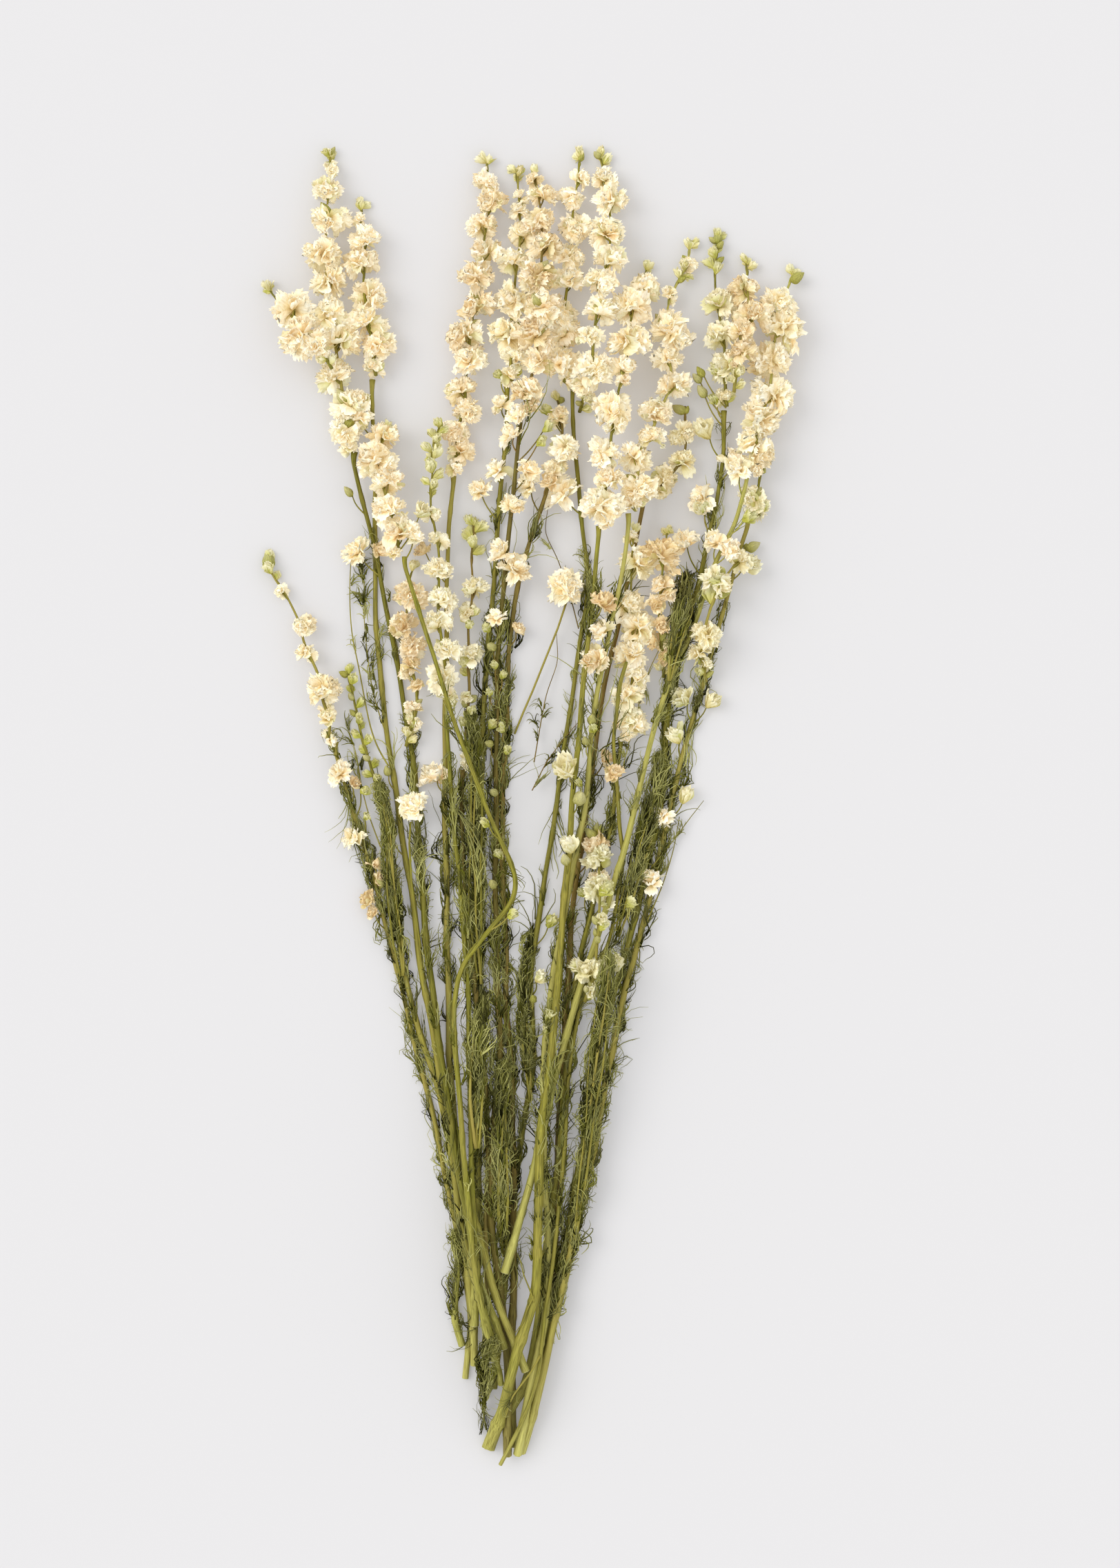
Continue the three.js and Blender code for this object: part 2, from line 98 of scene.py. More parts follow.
def route_of(node):
    """The middle line of a solid of the frame and its half width, from slices across its length."""
    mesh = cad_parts[node].data
    corners = np.empty(len(mesh.vertices) * 3)
    mesh.vertices.foreach_get("co", corners)
    corners = corners.reshape(-1, 3)
    ends = np.empty(len(mesh.edges) * 2, dtype=int)
    mesh.edges.foreach_get("vertices", ends)
    first = corners[ends[0::2]]
    last = corners[ends[1::2]]
    low = corners[:, 1].min()
    high = corners[:, 1].max()
    count = max(4, int((high - low) / slice_step))
    middle = []
    half = []
    for level in np.linspace(low + slice_margin, high - slice_margin, count):
        crossing = (first[:, 1] < level) != (last[:, 1] < level)
        near = first[crossing]
        far = last[crossing]
        share = (level - near[:, 1]) / (far[:, 1] - near[:, 1])
        cut = near + (far - near) * share[:, None]
        lowest = cut.min(axis=0)
        highest = cut.max(axis=0)
        middle.append((lowest + highest) / 2)
        half.append((highest[2] - lowest[2]) / 2)
    return np.array(middle), np.array(half)


def even_steps(line, half, step):
    """A line and its half width again, with points the same distance apart, and each point's distance."""
    gaps = np.linalg.norm(np.diff(line, axis=0), axis=1)
    run = np.concatenate([[0], np.cumsum(gaps)])
    at = np.linspace(0, run[-1], max(3, int(run[-1] / step) + 1))
    even = np.stack([np.interp(at, run, line[:, k]) for k in range(3)], axis=1)
    return even, np.interp(at, run, half), at


def ways_round(lines):
    """The heading along each line, and the two ways across it: sideways and upwards."""
    heading = unit(np.gradient(lines, axis=-2))
    sideways = unit(np.cross(heading, np.array([0.02, 0.03, 1.0])))
    return heading, sideways, np.cross(sideways, heading)


def tubes(lines, radii, sides, finish, ribs=0.0, inside=0):
    """Round stalks or threads along many lines at once, as one batch of a piece.
    Rings inside a hollow foot stand as the first outer ring does."""
    heading, sideways, upwards = ways_round(lines[:, inside:])
    first_ring = [1 + inside] + [1] * (sideways.shape[1] - 1)
    sideways = np.repeat(sideways, first_ring, axis=1)
    upwards = np.repeat(upwards, first_ring, axis=1)
    turn = np.linspace(0, 2 * math.pi, sides + 1) - math.pi / 2
    ridge = 1 + ribs * np.cos(rib_count * turn)
    reach = radii[:, :, None] * ridge[None, None, :]
    x = reach * np.cos(turn)
    y = reach * np.sin(turn)
    points = lines[:, :, None] + x[..., None] * sideways[:, :, None] + y[..., None] * upwards[:, :, None]
    gaps = np.linalg.norm(np.diff(lines, axis=1), axis=2)
    run = np.concatenate([np.zeros((len(lines), 1)), np.cumsum(gaps, axis=1)], axis=1)
    count = np.arange(len(lines))[:, None, None]
    along = np.broadcast_to(run[:, :, None] / mm * stalk_grain + count * stalk_apart, x.shape)
    fibre = np.stack([x / mm, y / mm, along], axis=-1)
    finish = np.broadcast_to(finish[:, :, None], x.shape + (4,))
    return {"points": points, "fibre": fibre, "finish": finish, "ends": True}


def laid_out(batches):
    """Each batch's places in the piece's flat layout, where every petal and stalk has a cell of its own."""
    areas = []
    shapes = []
    for batch in batches:
        points = batch["points"]
        length = np.linalg.norm(np.diff(points, axis=1), axis=-1).sum(axis=1).mean()
        width = np.linalg.norm(np.diff(points, axis=2), axis=-1).sum(axis=2).mean()
        areas.append(length * width * len(points))
        shapes.append(length / width)
    bands = np.array(areas) / sum(areas)
    filled = 0
    for batch, band, shape in zip(batches, bands, shapes):
        count, rows, columns = batch["points"].shape[:3]
        wide = max(1, round(math.sqrt(count / (shape * band))))
        tall = math.ceil(count / wide)
        cell = np.arange(count)
        along = cell_gap + (1 - 2 * cell_gap) * np.linspace(0, 1, rows)
        across = cell_gap + (1 - 2 * cell_gap) * np.linspace(0, 1, columns)
        along = (cell % wide)[:, None, None] + along[None, :, None]
        across = (cell // wide)[:, None, None] + across[None, None, :]
        along, across = np.broadcast_arrays(along / wide, filled + across / tall * band)
        yield np.stack([along, across], axis=-1)
        filled += band


def make_piece(name, batches, slot):
    """One mesh of many grids of faces, on the bunch's only body, in place of the plain solid of its name."""
    batches = [batch for batch in batches if len(batch["points"])]
    materials = []
    points, fibres, finishes, places, quads, thirds, quad_paint, third_paint = ([] for _ in range(8))
    start = 0
    for batch, place in zip(batches, laid_out(batches)):
        count, rows, columns = batch["points"].shape[:3]
        index = start + np.arange(count * rows * columns).reshape(count, rows, columns)
        start += index.size
        here, ahead = index[:, :-1, :-1], index[:, 1:, :-1]
        beside, both = index[:, :-1, 1:], index[:, 1:, 1:]
        corners = [here, beside, both, ahead] if batch.get("back") else [here, ahead, both, beside]
        if batch["material"] not in materials:
            materials.append(batch["material"])
        paint = materials.index(batch["material"])
        quads.append(np.stack(corners, axis=-1).reshape(-1, 4))
        quad_paint.append(np.full(len(quads[-1]), paint))
        if batch.get("ends"):
            for ring, order in ((index[:, 0, :-1], 1), (index[:, -1, :-1], -1)):
                for k in range(1, columns - 2):
                    fan = ring[:, [0, k, k + 1][::order]]
                    thirds.append(fan)
                    third_paint.append(np.full(len(fan), paint))
        points.append(batch["points"].reshape(-1, 3))
        fibres.append(batch["fibre"].reshape(-1, 3))
        finishes.append(batch["finish"].reshape(-1, 4))
        places.append(place.reshape(-1, 2))
    points = np.concatenate(points)
    points[:, 2] = np.maximum(points[:, 2], 0)
    quads = np.concatenate(quads)
    thirds = np.concatenate(thirds) if thirds else np.empty((0, 3), dtype=int)
    corners = np.concatenate([quads.ravel(), thirds.ravel()])
    quad_starts = np.arange(len(quads)) * 4
    third_starts = quads.size + np.arange(len(thirds)) * 3
    mesh = bpy.data.meshes.new(name)
    mesh.vertices.add(len(points))
    mesh.vertices.foreach_set("co", points.ravel())
    mesh.loops.add(len(corners))
    mesh.loops.foreach_set("vertex_index", corners)
    mesh.polygons.add(len(quads) + len(thirds))
    mesh.polygons.foreach_set("loop_start", np.concatenate([quad_starts, third_starts]))
    mesh.polygons.foreach_set("material_index", np.concatenate(quad_paint + third_paint))
    mesh.update(calc_edges=True)
    mesh.shade_smooth()
    fibre = mesh.attributes.new("fibre", "FLOAT_VECTOR", "POINT")
    fibre.data.foreach_set("vector", np.concatenate(fibres).ravel())
    finish = mesh.attributes.new("finish", "FLOAT_COLOR", "POINT")
    finish.data.foreach_set("color", np.concatenate(finishes).ravel())
    layout = mesh.uv_layers.new(name="OFBake")
    layout.data.foreach_set("uv", np.concatenate(places)[corners].ravel())
    for material in materials:
        mesh.materials.append(material)
    piece = bpy.data.objects.new(name, mesh)
    bpy.context.scene.collection.objects.link(piece)
    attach(piece, "root")
    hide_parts(name)


def above_floor(points):
    """Points pressed up by what the bunch lies on, gently, so that nothing passes through it."""
    softness = 0.5 * mm
    height = points[..., 2] / softness
    lifted = np.where(height > 20, height, np.log1p(np.exp(np.minimum(height, 20))))
    points[..., 2] = lifted * softness
    return points


def new_group(name, inputs, outputs):
    """An empty shader node group with its sockets, and its input and output nodes."""
    group = bpy.data.node_groups.new(name, "ShaderNodeTree")
    for label, value in inputs.items():
        socket = group.interface.new_socket(label, in_out="INPUT", socket_type="NodeSocketFloat")
        socket.default_value = value
    for label in outputs:
        group.interface.new_socket(label, in_out="OUTPUT", socket_type="NodeSocketFloat")
    return group, group.nodes.new("NodeGroupInput"), group.nodes.new("NodeGroupOutput")


def noise(tree, vector, scale, detail):
    """Cloudy noise over the places that a vector gives."""
    node = tree.nodes.new("ShaderNodeTexNoise")
    node.inputs["Detail"].default_value = detail
    tree.links.new(vector, node.inputs["Vector"])
    tree.links.new(scale, node.inputs["Scale"])
    return node.outputs["Fac"]


def stretched(tree, value, low, high):
    """A value stretched so that low becomes 0 and high becomes 1."""
    node = tree.nodes.new("ShaderNodeMapRange")
    node.inputs["From Min"].default_value = low
    node.inputs["From Max"].default_value = high
    tree.links.new(value, node.inputs["Value"])
    return node.outputs["Result"]


# Dried plant fibres: fine streaks that run along a stalk, petal or leaf.
fibres_group, fibres_in, fibres_out = new_group("dried_fibres", {"Fineness": 2.0}, ["Streaks"])
fibre_place = fibres_group.nodes.new("ShaderNodeAttribute")
fibre_place.attribute_name = "fibre"
streaks = noise(fibres_group, fibre_place.outputs["Vector"], fibres_in.outputs["Fineness"], 3)
streaks = stretched(fibres_group, streaks, 0.3, 0.7)
fibres_group.links.new(streaks, fibres_out.inputs["Streaks"])

# Uneven drying: soft patches that change over a few centimetres, whatever piece they fall on.
patches_group, patches_in, patches_out = new_group("uneven_drying", {"Size": 60.0}, ["Patches"])
patch_place = patches_group.nodes.new("ShaderNodeTexCoord")
patches = noise(patches_group, patch_place.outputs["Object"], patches_in.outputs["Size"], 3)
patches = stretched(patches_group, patches, 0.35, 0.65)
patches_group.links.new(patches, patches_out.inputs["Patches"])


class Finish:
    """The nodes of one dried material, from its streaks and patches to the shader."""

    def __init__(self, name, fineness, patch_size):
        self.material = bpy.data.materials.new(name)
        self.material.use_nodes = True
        self.tree = self.material.node_tree
        self.shader = self.tree.nodes["Principled BSDF"]
        self.streaks = self.placed(fibres_group, "Fineness", fineness).outputs["Streaks"]
        self.patches = self.placed(patches_group, "Size", patch_size).outputs["Patches"]
        given = self.tree.nodes.new("ShaderNodeAttribute")
        given.attribute_name = "finish"
        parts = self.tree.nodes.new("ShaderNodeSeparateColor")
        self.tree.links.new(given.outputs["Color"], parts.inputs["Color"])
        self.tip = parts.outputs["Red"]
        self.tint = parts.outputs["Green"]
        self.age = parts.outputs["Blue"]
        self.green = given.outputs["Alpha"]

    def placed(self, group, label, value):
        """An effect's group in this material, with the material's own value."""
        node = self.tree.nodes.new("ShaderNodeGroup")
        node.node_tree = group
        node.inputs[label].default_value = value
        return node

    def mixed(self, share, first, second, strength=1.0):
        """One colour over another by a share that changes over the surface."""
        node = self.tree.nodes.new("ShaderNodeMix")
        node.data_type = "RGBA"
        amount = self.tree.nodes.new("ShaderNodeMath")
        amount.operation = "MULTIPLY"
        amount.use_clamp = True
        amount.inputs[1].default_value = strength
        self.tree.links.new(share, amount.inputs[0])
        self.tree.links.new(amount.outputs[0], node.inputs[0])
        for socket, colour in ((node.inputs[6], first), (node.inputs[7], second)):
            if isinstance(colour, tuple):
                socket.default_value = (*colour, 1)
            else:
                self.tree.links.new(colour, socket)
        return node.outputs[2]

    def both(self, first, second):
        """Two shares multiplied."""
        node = self.tree.nodes.new("ShaderNodeMath")
        node.operation = "MULTIPLY"
        self.tree.links.new(first, node.inputs[0])
        self.tree.links.new(second, node.inputs[1])
        return node.outputs[0]

    def between(self, value, low, high):
        """A share that is 0 where the value is low and 1 where it is high."""
        return stretched(self.tree, value, low, high)

    def done(self, colour, roughness, streak_height, sheen):
        """Colour, roughness and the raised streaks, all joined to the shader, and its faint sheen."""
        self.shader.inputs["Specular IOR Level"].default_value = sheen
        self.tree.links.new(colour, self.shader.inputs["Base Color"])
        rough = self.tree.nodes.new("ShaderNodeMapRange")
        rough.inputs["To Min"].default_value = roughness[0]
        rough.inputs["To Max"].default_value = roughness[1]
        self.tree.links.new(self.streaks, rough.inputs["Value"])
        self.tree.links.new(rough.outputs["Result"], self.shader.inputs["Roughness"])
        raised = self.tree.nodes.new("ShaderNodeBump")
        raised.inputs["Distance"].default_value = streak_height
        raised.inputs["Strength"].default_value = streak_strength
        self.tree.links.new(self.streaks, raised.inputs["Height"])
        self.tree.links.new(raised.outputs["Normal"], self.shader.inputs["Normal"])
        return self.material


def stalk_material(name):
    """Pale ribs over dark furrows, partly the stalk's own streaky colour and partly painted highlight on the
    raised ribs and painted shade in the furrows; dry in patches, paler at the bare foot, with pith where it
    is cut.
    """
    dark, light, dry = stalk_shades[name]
    look = Finish(name, stalk_fineness, stalk_patches)
    # Painted highlight and shade, in part: the raised streaks of the bump take the light colour, the furrows
    # between them the dark one.
    colour = look.mixed(look.streaks, dark, light)
    colour = look.mixed(look.both(look.patches, look.streaks), colour, dry, 0.7)
    colour = look.mixed(look.between(look.tint, 0.5, 1.0), colour, dry, 0.7)
    colour = look.mixed(look.between(look.tint, 0.45, 0.0), colour, dark, 0.55)
    colour = look.mixed(look.age, colour, dry, 0.8)
    colour = look.mixed(look.both(look.green, look.streaks), colour, foot_shade, 1.0)
    colour = look.mixed(look.tip, colour, pith_shade)
    return look.done(colour, stalk_roughness, stalk_streak_height, stalk_sheen)


stalk_materials = {name: stalk_material(name) for name in stalk_shades}


def stalk_slot(kind):
    """The finish of a stalk, and of the spike that grows on it."""
    if kind in bright_stalks:
        return "stalk_bright"
    return "stalk_brown" if kind in brown_stalks else "stalk_olive"


def finish_rows(count, rows, tip=0.0, tint=None, age=0.0, green=0.0):
    """How far to the tip, own tint, age and greenness of each row of many threads or petals."""
    tint = chance.random(count) if tint is None else np.broadcast_to(tint, count)
    shape = (count, rows)
    tip = np.broadcast_to(tip, shape)
    tint = np.broadcast_to(tint[:, None], shape)
    age = np.broadcast_to(np.reshape(age, (-1, 1)), shape)
    green = np.broadcast_to(np.reshape(green, (-1, 1)), shape)
    return np.stack([tip, tint, age, green], axis=-1)


def stalk_batch(line, half, slot):
    """One stalk: ribbed, with swollen joints and a hollow cut foot."""
    line, half, at = even_steps(eased(line, 3), eased(half, 3), stalk_step)
    swing = chance.random(4) * 2 * math.pi
    wander = stalk_wander * np.minimum(1, at / (30 * mm))
    line[:, 0] += wander * (np.sin(at / (21 * mm) + swing[0]) + np.sin(at / (9 * mm) + swing[1])) / 2
    line[:, 2] += wander * np.sin(at / (17 * mm) + swing[2]) / 2
    half = half * (1 + 0.05 * np.sin(at / (12 * mm) + swing[3]))
    places = np.arange(first_joint, at[-1], joint_spacing)
    places = places + chance.uniform(-12, 12, len(places)) * mm
    for place in places:
        half = half * (1 + joint_swelling * np.exp(-(((at - place) / joint_length) ** 2)))
    into = (line[1] - line[0]) / np.linalg.norm(line[1] - line[0])
    foot = half[0]
    line = np.concatenate([[line[0] + into * hollow_depth, line[0], line[0]], line])
    half = np.concatenate([[foot * 0.3, foot * hollow_share, foot * 0.9], half])
    line[inner_rings] = line[inner_rings] + into * rim_depth
    rows = np.arange(len(line))
    cut = (rows < inner_rings) * 1.0
    worn = 0.25 * chance.random() + 0.25 * np.exp(-np.maximum(0, rows - inner_rings) / 8)
    tint = np.full(len(line), chance.random())
    bare = (0.35 + 0.65 * tint) * np.exp(-np.concatenate([np.zeros(inner_rings), at]) / foot_fade)
    finish = np.stack([cut, tint, worn, bare], axis=-1)
    line[:, 2] = np.maximum(line[:, 2], half * (1 + rib_depth))
    batch = tubes(line[None], half[None], stalk_sides, finish[None], rib_depth, inner_rings)
    batch["material"] = stalk_materials[slot]
    return batch


def cut_square(line, half):
    """A stalk's line and half width with its foot as thick as the stalk just above it, and cut square."""
    line[:foot_slices] = line[foot_slices] + np.outer(
        np.arange(foot_slices, 0, -1), line[foot_slices] - line[foot_slices + 1]
    )
    half[:foot_slices] = half[foot_slices]
    return line, half


stem_names = [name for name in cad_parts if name.startswith("stem_")]
stalks = {name[len("stem_"):]: cut_square(*route_of(name)) for name in stem_names}


# ---- Dried leaves ----
# Larkspur leaves are cut into threads under a millimetre wide. Dried, they cling round the lower stalks
# and stand in tufts at the branchings, dark grey green with paler curled tips, their paleness partly painted
# highlight.

thread_width = 0.64 * mm
threads_per_leaf = 7
thread_rows = 8
leaf_sink = 1.2 * mm
shoots_per_tuft = 3
shoot_width = 1.3 * mm
shoots_from = 50 * mm
thread_rise = np.array([1.0, 1.0, 0.45])  # leaves were pressed flat in the bunch
thread_sides = 3
thin_stalk_sides = 6
thread_kink = 0.15
downward_share = 0.12  # of the leaves, those that point to the foot
long_threads = (5.5, 17 * mm)  # for each mm of a tuft, and their length
curled_threads = (1.2, 12 * mm)
leaf_roughness = (0.55, 0.8)
leaf_streak_height = 0.05 * mm
leaf_sheen = 0.03
leaf_dark = (0.009, 0.009, 0.001)
leaf_mid = (0.132, 0.131, 0.014)
leaf_pale_and_painted_highlight = (0.620, 0.600, 0.210)


def leaf_finish():
    """Dark to mid green, each leaf its own shade, paler on the raised streaks at the curled tips of its
    threads, partly their own colour and partly painted highlight.
    """
    look = Finish("dried_leaf", 3.0, 90)
    colour = look.mixed(look.tint, leaf_dark, leaf_mid)
    # Painted highlight, in part: the raised streaks near each thread's tip are mixed towards the pale colour.
    colour = look.mixed(look.both(look.tip, look.streaks), colour, leaf_pale_and_painted_highlight, 0.75)
    colour = look.mixed(look.green, colour, leaf_pale_and_painted_highlight, 0.8)
    return look.done(colour, leaf_roughness, leaf_streak_height, leaf_sheen)


leaf_material = leaf_finish()


def leaf_threads(line, half, count, length, spread, curl, pale=0.0, hug=0.5):
    """Leaves cut into threads, set along a line. Each leaf's threads fan out from one place, run up or
    down the line and curl the same way at their tips."""
    leaves = int(round(count / threads_per_leaf))
    if leaves < 1:
        return {"points": np.empty((0, 2, 2, 3))}
    place = chance.beta(1.25, 1.25, leaves) * (len(line) - 1)
    index = np.minimum(place.astype(int), len(line) - 2)
    share = (place - index)[:, None]
    start = line[index] * (1 - share) + line[index + 1] * share
    reach = np.interp(place, np.arange(len(half)), half)
    heading, sideways, upwards = ways_round(line)
    heading, sideways, upwards = heading[index], sideways[index], upwards[index]
    turn = chance.random(leaves)[:, None] * 2 * math.pi
    outwards = np.cos(turn) * sideways + np.sin(turn) * upwards
    start = start + outwards * (reach * chance.random(leaves))[:, None] * 0.7
    downwards = np.where(chance.random(leaves) < downward_share, -1.0, 1.0)[:, None]
    heading = heading * downwards + outwards * chance.normal(0.3, 0.35, leaves)[:, None] * spread
    heading = unit(heading * thread_rise)
    bend = unit(chance.normal(size=(leaves, 3))) * curl * thread_rise
    sizes = length * chance.lognormal(0, 0.35, leaves)
    tints = chance.beta(0.6, 0.9, leaves)
    greens = np.clip(chance.normal(pale, 0.34, leaves), 0, 1)
    start, heading, bend, outwards = (
        np.repeat(each, threads_per_leaf, axis=0) for each in (start, heading, bend, outwards)
    )
    sizes, tints, greens, reach = (
        np.repeat(each, threads_per_leaf) for each in (sizes, tints, greens, reach)
    )
    count = len(start)
    start = start + heading * (sizes * 0.45 * chance.random(count) ** 1.5)[:, None]
    start = start + chance.normal(0, 0.5 * mm, (count, 3))
    heading = unit(heading + chance.normal(0, 0.2, (count, 3)) * spread * thread_rise)
    bend = bend + chance.normal(0, 0.35, (count, 3)) * curl * thread_rise
    sizes = sizes * chance.uniform(0.45, 1.1, count)
    points = [start]
    for row in range(1, thread_rows):
        axis = np.stack([np.interp(points[-1][:, 1], line[:, 1], line[:, k]) for k in range(3)], axis=1)
        away = (axis - points[-1]) / np.maximum(reach, 2 * mm)[:, None]
        far = np.maximum(0, np.linalg.norm(away, axis=1, keepdims=True) - 0.8)
        kink = chance.normal(0, thread_kink, (count, 3)) * thread_rise
        heading = unit(heading + bend * (row / thread_rows) ** 1.5 + away * far * hug + kink)
        points.append(points[-1] + heading * (sizes / (thread_rows - 1))[:, None])
    points = above_floor(np.stack(points, axis=1))
    taper = np.linspace(1, 0, thread_rows) ** 0.6
    width = thread_width * chance.uniform(0.55, 1.3, count)
    radii = width[:, None] / 2 * (0.28 + 0.72 * taper)
    tip = np.linspace(0, 1, thread_rows) ** 2
    tints = np.clip(tints + chance.normal(0, 0.15, count), 0, 1)
    batch = tubes(points, radii, thread_sides, finish_rows(count, thread_rows, tip, tints, green=greens))
    batch["material"] = leaf_material
    return batch


def leaf_shoots(line, half):
    """Thin stalks that carry the leaves of a tuft and run with it, side by side."""
    even, reach, at = even_steps(line, half, 4 * mm)
    heading, sideways, upwards = ways_round(even)
    lines = []
    radii = []
    for across in np.linspace(-0.75, 0.75, shoots_per_tuft):
        swing = chance.random(3) * 2 * math.pi
        offset = across + 0.3 * np.sin(at / (26 * mm) + swing[0]) + 0.1 * np.sin(at / (9 * mm) + swing[1])
        lift = 0.35 + 0.35 * np.sin(at / (31 * mm) + swing[2])
        lines.append(even + (sideways * offset[:, None] + upwards * lift[:, None]) * reach[:, None])
        radii.append(shoot_width * chance.uniform(0.7, 1.3) / 2 * np.linspace(1.1, 0.6, len(even)))
    lines = above_floor(np.array(lines))
    finish = finish_rows(len(lines), len(even), age=chance.random(len(lines)) * 0.5)
    batch = tubes(lines, np.array(radii), thin_stalk_sides, finish)
    batch["material"] = stalk_materials["stalk_olive"]
    return batch


for name in [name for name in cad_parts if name.startswith("leaves_")]:
    line, half = route_of(name)
    line = eased(line, 2) - np.array([0, 0, leaf_sink])
    run = np.linalg.norm(np.diff(line, axis=0), axis=1).sum()
    batches = [
        leaf_threads(line, half * 0.85, int(run / mm * long_threads[0]), long_threads[1], 0.6, 0.3),
        leaf_threads(
            line, half * 0.7, int(run / mm * curled_threads[0]), curled_threads[1], 1.5, 0.9, 0.35, 0.15
        ),
    ]
    if run > shoots_from:
        batches.append(leaf_shoots(line, half * 0.8))
    make_piece(name, batches, "foliage")


# ---- Flowers ----
# A double larkspur flower: eighteen thin petals in four whorls on a short stalk, dried cream over peach,
# crushed and frilled. Young ones have fewer petals, or are closed, ridged, yellow green buds.

petal_rows = 8
petal_columns = 9
petal_thickness = 0.14 * mm
petal_painted_glow = 0.16  # painted glow: the petal gives off a little light of its own colour, in place of light coming through a thin petal from behind, and so lightens its shaded folds
crumples = (0.50, 0.36, 0.30, 0.24, 0.16)  # how deep each is, from the widest to the finest
closed_below = 0.6  # the openness under which a flower has only its inner whorls
sepal_share = 0.35
petal_grain = 0.22  # how far the streaks are drawn out along a petal, less being longer
bud_grain = 0.2
petal_apart = 5.3  # between one petal's streaks and the next one's, so that no two are alike
bud_rows = 9
bud_columns = 16
flower_stalk_rows = 7
petal_roughness = (0.6, 0.85)
bud_roughness = (0.5, 0.75)
petal_streak_height = 0.10 * mm
petal_sheen = 0.06
bud_sheen = 0.12
whorls = [  # petals, lean from the flower's axis, its spread, length and width as shares of the flower
    (5, 84, 18, 0.95, 0.88),
    (6, 58, 16, 0.96, 0.80),
    (4, 34, 14, 0.92, 0.74),
    (3, 13, 12, 0.80, 0.62),
]
ivory = (0.920, 0.892, 0.785)
cream = (0.930, 0.850, 0.625)
peach = (0.910, 0.740, 0.410)
tan = (0.660, 0.485, 0.230)
# The petal base colour: partly the dried petal's own brown, partly painted shade where the petals crowd in
# the flower's middle.
base_brown_and_painted_shade = (0.560, 0.390, 0.110)
lime = (0.400, 0.395, 0.068)
moss = (0.170, 0.168, 0.022)


def petal_finish():
    """Brown at the petal's base, partly its own colour and partly painted shade deep in the flower, through
    peach and cream to ivory at the edge, with tan veins, browner with age, and green from the base up on
    sepals and on flowers that were still young."""
    look = Finish("dried_petal", 1.6, 70)
    # Darker towards each petal's base: partly its own colour, partly painted shade in the flower's middle.
    colour = look.mixed(look.between(look.tip, 0.08, 0.38), base_brown_and_painted_shade, peach)
    colour = look.mixed(look.between(look.tip, 0.22, 0.68), colour, cream)
    colour = look.mixed(look.both(look.tip, look.tint), colour, ivory)
    colour = look.mixed(look.patches, colour, ivory, 0.35)
    veins = look.between(look.streaks, 0.55, 0.95)
    colour = look.mixed(veins, colour, tan, 0.42)
    colour = look.mixed(look.both(look.streaks, look.age), colour, tan)
    colour = look.mixed(look.between(look.age, 0.35, 1.1), colour, tan, 0.7)
    greened = look.both(look.green, look.between(look.tip, 1.7, 0.45))
    colour = look.mixed(greened, colour, lime)
    material = look.done(colour, petal_roughness, petal_streak_height, petal_sheen)
    # Painted glow: the petal's colour is also given off as weak light, which lifts the shade in its folds.
    look.tree.links.new(colour, look.shader.inputs["Emission Color"])
    look.shader.inputs["Emission Strength"].default_value = petal_painted_glow
    return material


petal_material = petal_finish()


def bud_finish():
    """Yellow green streaked with moss green, creamy at the tip, tan where it is old."""
    look = Finish("dried_bud", 2.2, 80)
    colour = look.mixed(look.streaks, moss, lime)
    colour = look.mixed(look.both(look.tip, look.tint), colour, cream, 0.4)
    colour = look.mixed(look.age, colour, tan, 0.8)
    return look.done(colour, bud_roughness, petal_streak_height, bud_sheen)


bud_material = bud_finish()


